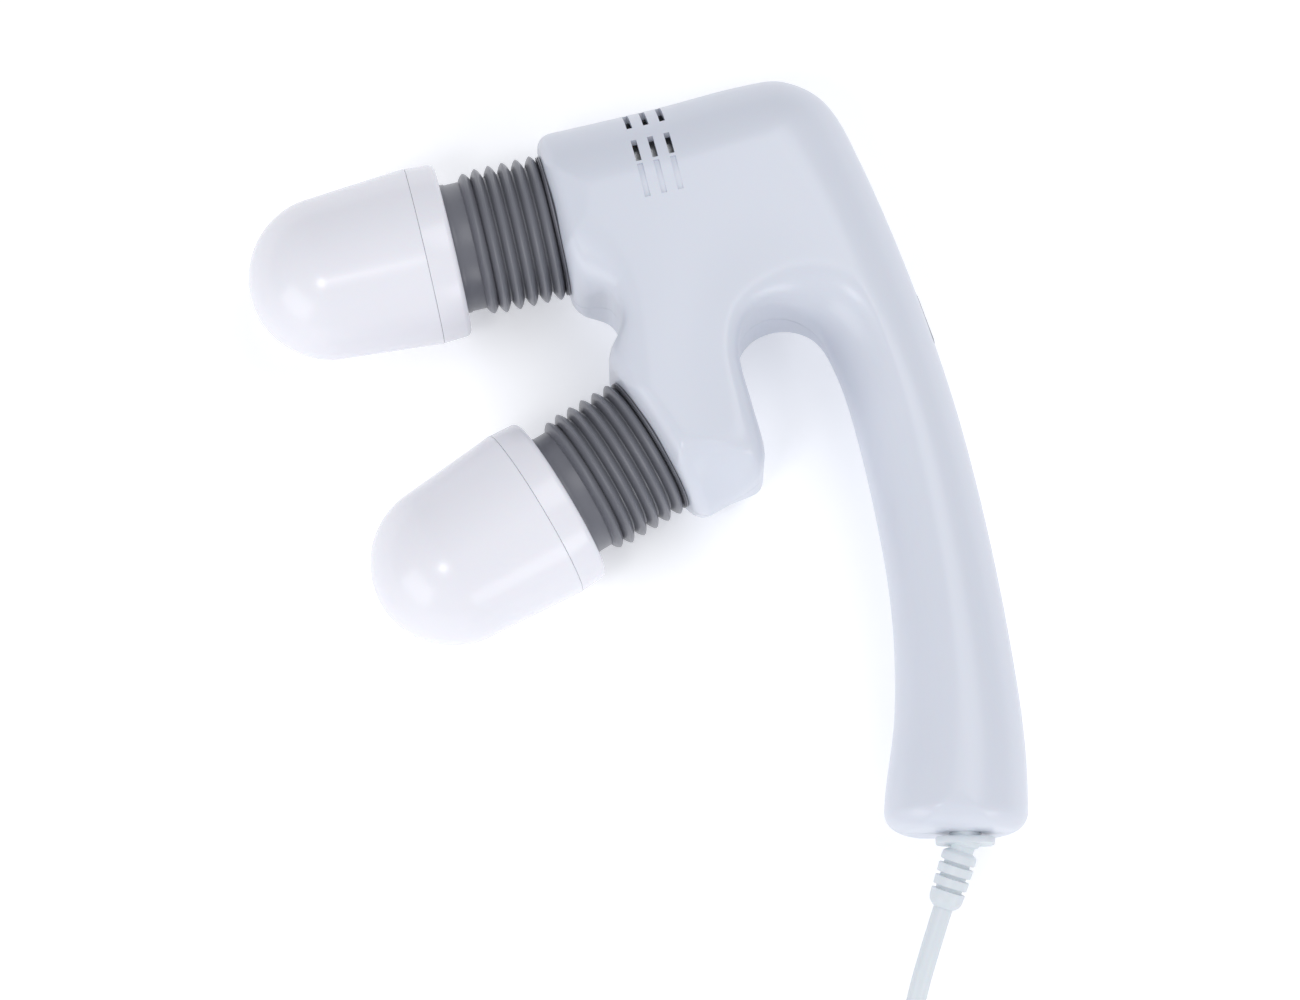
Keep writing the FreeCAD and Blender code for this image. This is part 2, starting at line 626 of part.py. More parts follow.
def connecting_rod():
    """Flat rod from the rod pin on the upper sector to the wide eye round the crank pin."""
    length = math.hypot(WHEEL_X - ROD_PIN[0], WHEEL_Y - ROD_PIN[1])
    angle = math.degrees(math.atan2(WHEEL_Y - ROD_PIN[1], WHEEL_X - ROD_PIN[0]))
    beam = block((0, -3, ROD_LOW), (length, 3, ROD_HIGH))
    shape = beam.fuse(rod(5.0, ROD_LOW, ROD_HIGH)).fuse(rod(ROD_EYE_R + 2.6, ROD_LOW, ROD_HIGH, length))
    shape = shape.cut(rod(ROD_EYE_R, 0, 20, length)).cut(rod(2.5 + RUNNING, 0, 20))
    shape.rotate(Vector(0, 0, 0), Z_AXIS, angle)
    shape.translate(Vector(ROD_PIN[0], ROD_PIN[1], 0))
    return shape


def rod_pin():
    return rod(2.5, ROD_LOW - 1.5, SECTOR_LOW, ROD_PIN[0], ROD_PIN[1]).fuse(
        rod(3.6, ROD_LOW - 1.5, ROD_LOW - 0.2, ROD_PIN[0], ROD_PIN[1]))


def motor_bracket():
    """Upright plate behind the motor, standing on the base plate and reaching the top plate."""
    plate = block((MOTOR_BACK, MOTOR_Y - 13, PLATE_LOW + PLATE_THICK - MID_Z),
                  (MOTOR_BACK + 2, MOTOR_Y + 8, PLATE_HIGH - MID_Z))
    plate = plate.cut(bar(4.2, MOTOR_BACK - 1, MOTOR_BACK + 4, MOTOR_Y))
    for side in (-1, 1):
        plate = plate.cut(bar(1.3, MOTOR_BACK - 1, MOTOR_BACK + 4, MOTOR_Y, side * 9))
    return plate


def motor_screws():
    screws = []
    for side in (-1, 1):
        shank = bar(1.3, MOTOR_BACK - 2.5, MOTOR_BACK + 2, MOTOR_Y, side * 9)
        screws.append(shank.fuse(bar(2.4, MOTOR_BACK + 2, MOTOR_BACK + 3.6, MOTOR_Y, side * 9)))
    return Part.makeCompound(screws)


# ---------------------------------------------------------------- switch, board, cord clamp
def from_switch(shape):
    placed = shape.copy()
    placed.rotate(Vector(0, 0, 0), Z_AXIS, SWITCH_HEADING)
    placed.translate(Vector(SWITCH_AT[0], SWITCH_AT[1], MID_Z))
    return placed


def switch_cut():
    return from_switch(block((-9, -8.2, -5.2), (6, 8.2, 5.2)))


def switch_body():
    """Snap-in rocker switch housing, open to the outside."""
    shell = block((-14, -8.1, -5.1), (0.2, 8.1, 5.1))
    shell = shell.cut(block((-5, -7.0, -4.0), (4, 7.0, 4.0)))
    return from_switch(shell)


def switch_rocker():
    """Rocker that tips about an axis across the spine."""
    rocker = Part.makeCylinder(6.6, 7.4, Vector(-5.6, 0, -3.7), Z_AXIS)
    rocker = rocker.common(block((-3.6, -6.7, -4), (4, 6.7, 4)))
    return from_switch(rocker)


def relief_hole():
    """Round hole through the handle's end."""
    return Part.makeCylinder(5.2, 30, Vector(RELIEF_BASE.x, RELIEF_BASE.y + 20, MID_Z), Vector(0, -1, 0))


def strain_relief():
    """Moulded relief: collar inside the handle, seat flange outside, then a ribbed sleeve that leans."""
    x, y, z = RELIEF_BASE
    inner = Part.makeCylinder(5.1, 6.4, Vector(x, y + 6, z), Vector(0, -1, 0))
    lip = Part.makeCylinder(7.5, 2, Vector(x, y + 6.5, z), Vector(0, -1, 0))
    flange = Part.makeCylinder(9.8, 2.2, Vector(x, y - 0.2, z), Vector(0, -1, 0))
    cone = Part.makeCone(7.0, 4.2, 5.5, RELIEF_ROOT, RELIEF_AIM)
    sleeve = Part.makeCone(5.2, 4.0, RELIEF_LENGTH - 1.6, RELIEF_ROOT, RELIEF_AIM)
    leaning = cone.fuse(sleeve)
    for i in range(4):
        at = RELIEF_ROOT + RELIEF_AIM * (7.5 + 4.2 * i)
        leaning = leaning.fuse(Part.makeCylinder(5.7 - 0.25 * i, 2.4, at, RELIEF_AIM))
    leaning = leaning.cut(block((x - 30, y - 0.3, z - 30), (x + 30, y + 30, z + 30)))
    return inner.fuse(lip).fuse(flange).fuse(leaning)


def internal_lead():
    """Cord inside the handle, from the relief to the clamp and the board."""
    x, y, z = RELIEF_BASE
    return cord_tube([(x, y + 6.5, z), (x, y + 22, z), (x - 5.0, y + 38, z), (x - 10.5, y + 58, z),
                      (x - 13.0, y + 84, z)], CORD_R - 0.5)


def cord_clamp():
    """Saddle that grips the lead on the back shell."""
    x, y, z = RELIEF_BASE
    saddle = block((x - 9, y + 12, z - 6), (x + 9, y + 19, z - CORD_R))
    return saddle.cut(Part.makeCylinder(CORD_R - 0.5, 30, Vector(x, y, z), Vector(0, 1, 0)))


def circuit_board():
    board = block((-20, -10, -0.8), (20, 10, 0.8))
    board.rotate(Vector(0, 0, 0), Z_AXIS, -75)
    board.translate(Vector(92.5, 12.0, MID_Z + 6))
    return board


def capacitor():
    can = block((-13, -6, 0.8), (3, 4, 8.8))
    can.rotate(Vector(0, 0, 0), Z_AXIS, -75)
    can.translate(Vector(92.5, 12.0, MID_Z + 6))
    return can


# ---------------------------------------------------------------- cord, coil and plug
def cord_tube(route, radius):
    """Tube of straight runs joined by tangent arcs along a list of points."""
    points = [Vector(*point) for point in route]
    edges = []
    at = points[0]
    for before, corner, after in zip(points, points[1:], points[2:]):
        run_in = corner - before
        run_out = after - corner
        turn = run_in.getAngle(run_out)
        setback = 0.45 * min(run_in.Length, run_out.Length)
        arc_r = setback / math.tan(turn / 2)
        print("cord bend radius %.1f mm, turn %.1f deg" % (arc_r, math.degrees(turn)))
        start = corner - run_in.normalize() * setback
        end = corner + run_out.normalize() * setback
        towards = ((start - corner) + (end - corner)).normalize()
        middle = corner + towards * (arc_r / math.cos(turn / 2) - arc_r)
        edges.append(Part.LineSegment(at, start).toShape())
        edges.append(Part.Arc(start, middle, end).toShape())
        at = end
    edges.append(Part.LineSegment(at, points[-1]).toShape())
    path = Part.Wire(edges)
    circle = Part.Wire([Part.Circle(points[0], points[1] - points[0], radius).toShape()])
    swept = path.makePipeShell([circle], True, False)
    print("tube length %.1f mm, volume against section times length %.4f"
          % (path.Length, swept.Volume / (math.pi * radius ** 2 * path.Length)))
    return swept


def coil_section(grow):
    """Rounded rectangle round both layers of turns, as a face in the xz plane."""
    inner = COIL_MIDDLE_R - COIL_HALF_BAND - CORD_R
    outer = COIL_OUTER_R + CORD_R
    outline = [(inner - grow, COIL_LIFT - grow, CORD_R), (outer + grow, COIL_LIFT - grow, CORD_R),
               (outer + grow, LAYER_2_Z + CORD_R + grow, CORD_R), (inner - grow, LAYER_2_Z + CORD_R + grow, CORD_R)]
    face = rounded_face(outline)
    face.rotate(Vector(0, 0, 0), X_AXIS, 90)
    return face


def cord_coil():
    ring = coil_section(0).revolve(Vector(0, 0, 0), Z_AXIS, 360)
    lead_in = Part.makeCylinder(CORD_R, STUB, Vector(COIL_OUTER_R, 0, LAYER_1_Z), Vector(0, 1, 0))
    lead_out = Part.makeCylinder(CORD_R, STUB, Vector(0, -COIL_OUTER_R, LAYER_2_Z), Vector(-1, 0, 0))
    coil = ring.fuse(lead_in).fuse(lead_out)
    coil.translate(Vector(COIL_CENTRE[0], COIL_CENTRE[1], 0))
    return coil


def cord_tie():
    """Strap round all the turns at one place."""
    outer = coil_section(TIE_THICK).revolve(Vector(0, 0, 0), Z_AXIS, 12)
    inner = coil_section(0).revolve(Vector(0, 0, 0), Z_AXIS, 360)
    tie = outer.cut(inner)
    tie.rotate(Vector(0, 0, 0), Z_AXIS, 128)
    tie.translate(Vector(COIL_CENTRE[0], COIL_CENTRE[1], 0))
    return tie


def from_plug(shape):
    placed = shape.copy()
    run = Vector(*TAIL_ROUTE[-1]) - Vector(*TAIL_ROUTE[-2])
    placed.rotate(Vector(0, 0, 0), Z_AXIS, math.degrees(math.atan2(run.y, run.x)))
    placed.translate(Vector(*TAIL_ROUTE[-1]))
    return placed


def plug_body():
    sleeve = Part.makeCone(5.0, 7.0, 17, Vector(0, 0, 0), X_AXIS)
    grip = block((15, -12, -PLUG_HALF_HEIGHT), (38, 12, PLUG_HALF_HEIGHT))
    grip = grip.makeFillet(3.5, [edge for edge in grip.Edges if abs(edge.CenterOfMass.x - 38) > 0.1])
    return from_plug(sleeve.fuse(grip))


def plug_pins():
    blades = []
    for side in (-1, 1):
        blades.append(block((38, side * 6.35 - 0.75, -3.15), (55, side * 6.35 + 0.75, 3.15)))
    return from_plug(Part.makeCompound(blades))


# ---------------------------------------------------------------- build
def main():
    os.makedirs("parts", exist_ok=True)
    front, back = make_housing()
    save("housing_front", front)
    save("housing_back", back)
    save("housing_screws", make_housing_screws())
    for neck in (UPPER, LOWER):
        name = neck["name"]
        save(name + "_bellows", from_neck(bellows(), neck))
        save(name + "_dome", from_neck(dome(), neck))
        save(name + "_collar", from_neck(collar(), neck))
        save(name + "_hub", from_neck(hub(), neck))
        save(name + "_hub_screw", from_neck(hub_screw(), neck))
        save(name + "_arm", from_neck(arm(), neck))
        save(name + "_sector_gear", from_neck(sector_gear(neck), neck))
        save(name + "_pivot_pin", pivot_pin(neck))
        save(name + "_pivot_bush", pivot_bush(neck))
        save(name + "_retaining_clip", retaining_clip(neck))
    save("frame_base_plate", make_base_plate())
    save("frame_top_plate", make_top_plate())
    save("frame_pillars", make_pillars())
    save("frame_screws", make_frame_screws())
    save("motor_can", from_drive(motor_can()))
    save("motor_end_cap", from_drive(motor_end_cap()))
    save("motor_front_bush", from_drive(motor_bush(MOTOR_FRONT)))
    save("motor_rear_bush", from_drive(motor_bush(MOTOR_BACK - 3)))
    save("field_magnets", from_drive(field_magnets()))
    save("motor_brushes", from_drive(brushes()))
    save("motor_bracket", from_drive(motor_bracket()))
    save("motor_screws", from_drive(motor_screws()))
    save("motor_shaft", from_drive(motor_shaft()))
    save("armature", from_drive(armature()))
    save("commutator", from_drive(commutator()))
    save("cooling_fan", from_drive(cooling_fan()))
    save("worm", from_drive(worm()))
    save("worm_wheel", from_drive(worm_wheel()))
    save("crank_pin", from_drive(crank_pin()))
    save("wheel_shaft", wheel_shaft())
    save("connecting_rod", from_drive(connecting_rod()))
    save("rod_pin", from_drive(rod_pin()))
    save("switch_body", switch_body())
    save("switch_rocker", switch_rocker())
    save("circuit_board", circuit_board())
    save("suppression_capacitor", capacitor())
    save("strain_relief", strain_relief())
    save("internal_lead", internal_lead())
    save("cord_clamp", cord_clamp())
    save("power_cord", cord_tube(CORD_ROUTE, CORD_R))
    save("cord_coil", cord_coil())
    save("cord_tail", cord_tube(TAIL_ROUTE, CORD_R))
    save("cord_tie", cord_tie())
    save("plug_body", plug_body())
    save("plug_pins", plug_pins())


main()
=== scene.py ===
import bmesh
import bpy
import json
import math
import numpy as np
import openvdb
from mathutils import Matrix, Vector


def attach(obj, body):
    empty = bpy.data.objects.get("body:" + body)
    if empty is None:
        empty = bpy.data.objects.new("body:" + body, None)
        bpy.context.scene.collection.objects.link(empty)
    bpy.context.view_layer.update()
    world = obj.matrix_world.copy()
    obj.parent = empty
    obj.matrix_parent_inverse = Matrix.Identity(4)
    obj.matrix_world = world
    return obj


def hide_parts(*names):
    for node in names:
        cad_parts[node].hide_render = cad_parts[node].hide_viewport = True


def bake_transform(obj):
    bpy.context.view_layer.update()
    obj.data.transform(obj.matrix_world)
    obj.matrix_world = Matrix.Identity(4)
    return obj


# Looks for the twin-head massager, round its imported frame.  Sizes below are in millimetres in the row
# frame, and each mesh is scaled to metres as it is made.
# "Neck" coordinates: x from a bellows seat towards its head, the axis of that neck.

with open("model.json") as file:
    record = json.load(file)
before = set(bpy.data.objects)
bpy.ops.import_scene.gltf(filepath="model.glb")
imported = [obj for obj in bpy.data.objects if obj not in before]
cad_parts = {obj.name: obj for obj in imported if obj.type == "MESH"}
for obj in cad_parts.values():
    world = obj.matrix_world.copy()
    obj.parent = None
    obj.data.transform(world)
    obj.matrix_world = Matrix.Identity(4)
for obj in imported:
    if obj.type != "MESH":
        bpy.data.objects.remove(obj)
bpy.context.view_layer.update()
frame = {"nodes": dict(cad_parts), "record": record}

MM = 0.001
MID_Z = 30.5                # parting plane of the housing
BARREL_R = 30.5
WALL = 2.5
GROOVE_HALF = 0.14          # half width of the fine groove along the parting line
GROOVE_DEPTH = 0.55

UPPER = {"name": "upper", "seat": (-27.5, 91.3), "heading": 193.5}
LOWER = {"name": "lower", "seat": (4.95, 15.9), "heading": 211.5}
NECKS = [UPPER, LOWER]
FACE_X = -0.9               # barrel face, in neck coordinates
FACE_EDGE_R = 5.0
HEAD_X = 34.3               # back face of the head
COLLAR_LENGTH = 9.8
HEAD_R = 30.0
NOSE_X = HEAD_X + 41.8      # centre of the dome's round end
NOSE_R = 27.4
DOME_WALL = 2.4
SEAM_GAP = 0.1              # between dome and collar

HANDLE_END_Y = -114.3
HANDLE_END_R = 7.0

VOXEL = 0.9      # sampling of the housing's surface
INNER_VOXEL = 1.8


# ---------------------------------------------------------------- helpers
def link(obj):
    bpy.context.scene.collection.objects.link(obj)
    return obj


def mesh_object(name, verts, faces, smooth=True, scale=MM):
    """New object from lists of points in millimetres and faces."""
    mesh = bpy.data.meshes.new(name)
    mesh.from_pydata([tuple(float(c) * scale for c in v) for v in verts], [], [tuple(f) for f in faces])
    mesh.validate()
    mesh.update()
    if smooth:
        mesh.polygons.foreach_set("use_smooth", [True] * len(mesh.polygons))
    return link(bpy.data.objects.new(name, mesh))


def array_object(name, points, quads):
    """New object from numpy arrays of points in millimetres and quads."""
    mesh = bpy.data.meshes.new(name)
    count = len(quads)
    mesh.vertices.add(len(points))
    mesh.vertices.foreach_set("co", (np.asarray(points, np.float32) * MM).ravel())
    mesh.loops.add(4 * count)
    mesh.loops.foreach_set("vertex_index", np.asarray(quads, np.int32).ravel())
    mesh.polygons.add(count)
    mesh.polygons.foreach_set("loop_start", np.arange(0, 4 * count, 4, dtype=np.int32))
    mesh.update(calc_edges=True)
    mesh.validate()
    return link(bpy.data.objects.new(name, mesh))


def drop(obj):
    mesh = obj.data
    bpy.data.objects.remove(obj, do_unlink=True)
    bpy.data.meshes.remove(mesh)


def apply_modifiers(obj):
    bpy.context.view_layer.update()
    graph = bpy.context.evaluated_depsgraph_get()
    done = bpy.data.meshes.new_from_object(obj.evaluated_get(graph))
    old = obj.data
    obj.modifiers.clear()
    obj.data = done
    bpy.data.meshes.remove(old)


def boolean(obj, cutter, operation):
    """Cuts, joins or intersects obj with the cutter, which is used up."""
    modifier = obj.modifiers.new("Cut", "BOOLEAN")
    modifier.operation = operation
    modifier.solver = "MANIFOLD"
    modifier.object = cutter
    apply_modifiers(obj)
    drop(cutter)


def smooth_by_angle(obj, degrees):
    """Smooth shading, with creases kept sharp above an angle."""
    mesh = obj.data
    mesh.polygons.foreach_set("use_smooth", [True] * len(mesh.polygons))
    mesh.set_sharp_from_angle(angle=math.radians(degrees))


def revolve(name, profile, segments=128, closed=True):
    """Solid of revolution about x from (x, radius) points; closed joins the last point to the first."""
    verts = []
    faces = []
    rings = []
    for x, r in profile:
        if r < 1e-6:
            rings.append([len(verts)])
            verts.append((x, 0.0, 0.0))
            continue
        ring = []
        for i in range(segments):
            angle = 2 * math.pi * i / segments
            ring.append(len(verts))
            verts.append((x, r * math.cos(angle), r * math.sin(angle)))
        rings.append(ring)
    pairs = list(zip(rings, rings[1:]))
    if closed:
        pairs.append((rings[-1], rings[0]))
    for one, two in pairs:
        for i in range(segments):
            j = (i + 1) % segments
            if len(one) == 1 and len(two) == 1:
                break
            if len(one) == 1:
                faces.append((one[0], two[j], two[i]))
            elif len(two) == 1:
                faces.append((one[i], one[j], two[0]))
            else:
                faces.append((one[i], one[j], two[j], two[i]))
    obj = mesh_object(name, verts, faces)
    outward(obj)
    return obj


def outward(obj):
    """Makes every face's normal point out of the solid."""
    mesh = bmesh.new()
    mesh.from_mesh(obj.data)
    bmesh.ops.recalc_face_normals(mesh, faces=mesh.faces)
    mesh.to_mesh(obj.data)
    mesh.free()


def arc(centre, radius, start, end, steps):
    """Points of an arc in an (x, radius) profile, angles in degrees from +x."""
    points = []
    for i in range(steps + 1):
        angle = math.radians(start + (end - start) * i / steps)
        points.append((centre[0] + radius * math.cos(angle), centre[1] + radius * math.sin(angle)))
    return points


def neck_matrix(neck):
    turn = Matrix.Rotation(math.radians(neck["heading"]), 4, "Z")
    return Matrix.Translation(Vector((neck["seat"][0], neck["seat"][1], MID_Z)) * MM) @ turn


def place(obj, matrix):
    obj.data.transform(matrix)
    obj.data.update()


# ---------------------------------------------------------------- materials
def shade(colour, factor):
    return (colour[0] * factor, colour[1] * factor, colour[2] * factor, 1.0)


def material(name, colour, roughness, metallic=0.0, coat=0.0, grain=0.0, grain_size=0.4,
             mottle=0.03, specular=0.5, streaks=False, scatter=0.0):
    """Moulded, cast or turned surface: base colour with a faint mottle, uneven gloss and fine grain."""
    made = bpy.data.materials.new(name)
    made.use_nodes = True
    nodes = made.node_tree.nodes
    links = made.node_tree.links
    shader = nodes["Principled BSDF"]
    shader.inputs["Metallic"].default_value = metallic
    shader.inputs["Specular IOR Level"].default_value = specular
    shader.inputs["Coat Weight"].default_value = coat
    shader.inputs["Coat Roughness"].default_value = 0.12
    shader.inputs["Subsurface Weight"].default_value = scatter
    shader.inputs["Subsurface Scale"].default_value = 0.002
    place_at = nodes.new("ShaderNodeTexCoord")

    broad = nodes.new("ShaderNodeTexNoise")
    broad.inputs["Scale"].default_value = 28.0
    broad.inputs["Detail"].default_value = 3.0
    links.new(place_at.outputs["Object"], broad.inputs["Vector"])
    tint = nodes.new("ShaderNodeValToRGB")
    tint.color_ramp.elements[0].position = 0.3
    tint.color_ramp.elements[0].color = shade(colour, 1.0 - mottle)
    tint.color_ramp.elements[1].position = 0.7
    tint.color_ramp.elements[1].color = shade(colour, 1.0 + mottle)
    links.new(broad.outputs["Fac"], tint.inputs["Fac"])
    links.new(tint.outputs["Color"], shader.inputs["Base Color"])

    gloss = nodes.new("ShaderNodeMapRange")
    gloss.inputs["To Min"].default_value = roughness * 0.88
    gloss.inputs["To Max"].default_value = roughness * 1.12
    links.new(broad.outputs["Fac"], gloss.inputs["Value"])
    links.new(gloss.outputs["Result"], shader.inputs["Roughness"])

    if grain > 0:
        fine = nodes.new("ShaderNodeTexNoise")
        fine.inputs["Scale"].default_value = 1.0 / (grain_size * MM)
        fine.inputs["Detail"].default_value = 4.0
        if streaks:
            stretch = nodes.new("ShaderNodeMapping")
            stretch.inputs["Scale"].default_value = (0.06, 1.0, 1.0)
            links.new(place_at.outputs["Object"], stretch.inputs["Vector"])
            links.new(stretch.outputs["Vector"], fine.inputs["Vector"])
        else:
            links.new(place_at.outputs["Object"], fine.inputs["Vector"])
        bump = nodes.new("ShaderNodeBump")
        bump.inputs["Strength"].default_value = grain
        bump.inputs["Distance"].default_value = 0.0001
        links.new(fine.outputs["Fac"], bump.inputs["Height"])
        links.new(bump.outputs["Normal"], shader.inputs["Normal"])
    return made


MATERIALS = {
    "white_shell": material("satin_white_plastic", (0.685, 0.712, 0.785), 0.31, coat=0.05, grain=0.05,
                            grain_size=1.6, mottle=0.006, scatter=0.05),
    "grey_rubber": material("grey_rubber", (0.18, 0.183, 0.208), 0.31, grain=0.18, grain_size=0.25,
                            mottle=0.05, specular=0.4),
    "steel": material("ground_steel", (0.56, 0.57, 0.58), 0.28, metallic=1.0, grain=0.25,
                      grain_size=0.15, streaks=True),
    "brass": material("turned_brass", (0.72, 0.52, 0.24), 0.27, metallic=1.0, grain=0.2,
                      grain_size=0.15, streaks=True),
    "cast_alloy": material("cast_alloy", (0.42, 0.43, 0.44), 0.48, metallic=1.0, grain=0.6, grain_size=0.6),
    "black_plastic": material("black_plastic", (0.02, 0.02, 0.022), 0.4, grain=0.3, grain_size=0.3),
    "winding": material("enamelled_winding", (0.46, 0.16, 0.055), 0.26, metallic=0.9, grain=0.8,
                        grain_size=0.4, streaks=True),
    "magnet": material("magnet", (0.06, 0.06, 0.065), 0.55, grain=0.4, grain_size=0.3),
    "worm_wheel_plastic": material("natural_acetal", (0.78, 0.76, 0.66), 0.38, grain=0.15, scatter=0.1),
    "switch_plastic": material("switch_grey_plastic", (0.2, 0.2, 0.215), 0.34, coat=0.1, grain=0.35,
                               grain_size=0.3, mottle=0.03),
    "board": material("circuit_board_green", (0.02, 0.13, 0.05), 0.35, grain=0.3),
    "capacitor_film": material("capacitor_film", (0.62, 0.42, 0.06), 0.3, coat=0.2, grain=0.1),
    "cord_jacket": material("white_cord_jacket", (0.7, 0.745, 0.78), 0.4, grain=0.3, grain_size=0.5,
                            mottle=0.012, scatter=0.08),
    "tie_strap": material("black_tie_strap", (0.03, 0.03, 0.033), 0.6, grain=0.9, grain_size=0.35),
}
HEAD_WHITE = material("dome_white_plastic", (0.84, 0.835, 0.885), 0.24, coat=0.1, grain=0.04,
                      grain_size=1.6, mottle=0.005, scatter=0.05)


def paint(obj, slot, made=None):
    obj.data.materials.clear()
    obj.data.materials.append(made or MATERIALS[slot])


def finish_carried_nodes():
    """Gives every CAD node that stays in view or inside its procedural material."""
    slots = {part["node"]: part["material_slot"] for part in frame["record"]["subparts"]}
    for name, obj in frame["nodes"].items():
        made = MATERIALS[slots[name]]
        if not obj.material_slots:
            obj.data.materials.append(made)
        for slot in obj.material_slots:
            slot.material = made


# ---------------------------------------------------------------- camera, light and floor
CAMERA_TARGET = (5.15, -2.6, MID_Z)
CAMERA_DISTANCE = 2000.0
CAMERA_TILT = 12.4          # degrees off straight down
CAMERA_SIDE = (0.0, -0.2147, 0.9767)    # from the target to the camera, at that tilt
VIEW_WIDTH = 431.0          # what the view takes in at the target
SENSOR_WIDTH = 36.0
FLOOR_HALF = 6000.0


def add_camera():
    """Looks down, from a little towards the handle's end."""
    camera = link(bpy.data.objects.new("camera", bpy.data.cameras.new("camera")))
    camera.location = (Vector(CAMERA_TARGET) + CAMERA_DISTANCE * Vector(CAMERA_SIDE)) * MM
    camera.rotation_euler = (math.radians(CAMERA_TILT), 0.0, 0.0)
    camera.data.sensor_width = SENSOR_WIDTH
    camera.data.lens = SENSOR_WIDTH * CAMERA_DISTANCE / VIEW_WIDTH
    camera.data.clip_start = 0.05
    camera.data.clip_end = 20.0
    bpy.context.scene.camera = camera


def add_area(name, at, aim, size, power):
    lamp = bpy.data.lights.new(name, "AREA")
    lamp.shape = "RECTANGLE"
    lamp.size = size[0]
    lamp.size_y = size[1]
    lamp.energy = power
    obj = link(bpy.data.objects.new(name, lamp))
    obj.location = at
    obj.rotation_euler = (Vector(aim) - Vector(at)).to_track_quat("-Z", "Y").to_euler()


def add_stage():
    corners = [(FLOOR_HALF * x, FLOOR_HALF * y, 0) for x, y in [(-1, -1), (1, -1), (1, 1), (-1, 1)]]
    floor = mesh_object("floor", corners, [(0, 1, 2, 3)])
    made = bpy.data.materials.new("white_floor")
    made.use_nodes = True
    nodes = made.node_tree.nodes
    shader = nodes["Principled BSDF"]
    shader.inputs["Roughness"].default_value = 0.9
    shader.inputs["Specular IOR Level"].default_value = 0.05
    shader.inputs["Emission Color"].default_value = (0.96, 0.97, 1.0, 1.0)
    shader.inputs["Emission Strength"].default_value = 0.27
    noise = nodes.new("ShaderNodeTexNoise")
    noise.inputs["Scale"].default_value = 3.0
    tint = nodes.new("ShaderNodeValToRGB")
    tint.color_ramp.elements[0].color = (0.93, 0.93, 0.935, 1.0)
    tint.color_ramp.elements[1].color = (0.94, 0.94, 0.945, 1.0)
    made.node_tree.links.new(noise.outputs["Fac"], tint.inputs["Fac"])
    made.node_tree.links.new(tint.outputs["Color"], shader.inputs["Base Color"])
    floor.data.materials.append(made)


def add_light():
    world = bpy.data.worlds.new("studio")
    world.use_nodes = True
    background = world.node_tree.nodes["Background"]
    background.inputs["Color"].default_value = (0.93, 0.95, 1.0, 1.0)
    background.inputs["Strength"].default_value = 0.57
    bpy.context.scene.world = world
    add_area("key_softbox", (0.65, 0.5, 1.7), (0.02, 0.0, 0.0), (1.1, 1.1), 8.0)
    add_area("low_left_softbox", (-1.5, -1.25, 0.75), (-0.05, 0.0, 0.03), (1.5, 1.2), 10.5)
    add_area("crease_softbox", (-0.4, -0.55, 1.6), (0.0, 0.05, 0.03), (0.3, 0.3), 3.0)
    add_area("low_right_softbox", (1.0, -1.2, 0.55), (0.05, 0.0, 0.03), (0.8, 0.6), 4.0)
    bpy.context.scene.view_settings.view_transform = "Standard"
    bpy.context.scene.view_settings.look = "None"


# ---------------------------------------------------------------- heads
def dome_profile():
    """Outer line of the dome from its open edge to the tip, then the inner line back."""
    edge_x = HEAD_X + COLLAR_LENGTH + SEAM_GAP
    lean = math.degrees(math.asin((HEAD_R - NOSE_R) / (NOSE_X - edge_x)))
    outer = [(edge_x, HEAD_R - 0.8), (edge_x, HEAD_R - 0.15), (edge_x + 0.15, HEAD_R)]
    outer += arc((NOSE_X, 0.0), NOSE_R, 90.0 - lean * 0.6, 0.0, 40)
    inner = arc((NOSE_X, 0.0), NOSE_R - DOME_WALL, 0.0, 88.0, 24)
    inner += [(edge_x, HEAD_R - 2.6)]
    return [(x, max(r, 0.0) if abs(r) > 1e-4 else 0.0) for x, r in outer + inner]


def collar_profile():
    """Cuff of the head: rounded back rim, a slightly domed back and a step into the dome."""
    back = HEAD_X
    front = HEAD_X + COLLAR_LENGTH
    line = [(back + 0.9, 23.0), (back + 0.1, 26.6)]
    line += arc((back + 2.2, 27.2), 2.2, 180.0, 97.0, 10)
    line += [(front - 0.15, 29.92), (front, 29.8), (front, 29.2), (front, 27.2), (back + 2.6, 26.2)]
    line += [(back + 2.6, 19.2), (back + 0.9, 19.2)]
    return line


def add_head(neck):
    body = neck["name"] + "_head"
    dome = revolve(neck["name"] + "_dome_shell", dome_profile(), segments=160)
    collar = revolve(neck["name"] + "_collar_ring", collar_profile(), segments=160)
    for piece, node in ((dome, "_dome"), (collar, "_collar")):
        place(piece, neck_matrix(neck))
        smooth_by_angle(piece, 35)
        paint(piece, "white_shell", HEAD_WHITE)
        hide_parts(neck["name"] + node)
        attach(piece, body)


# ---------------------------------------------------------------- bellows
RIDGE_PITCH = 4.7
LAST_RIDGE_X = 25.5         # the one next to the cuff, which is lower and closer
LAST_RIDGE_R = 24.0
RIDGE_X = [2.55 + RIDGE_PITCH * i for i in range(5)] + [LAST_RIDGE_X]
RIDGE_R = 24.65
VALLEY_R = 21.3
RIDGE_HALF = 2.1            # half width of a ridge at its foot
RIDGE_POINT = 1.5           # 2 is a round crest, 1 a pointed one
CUFF_R = 21.5
BORE_R = 19.6


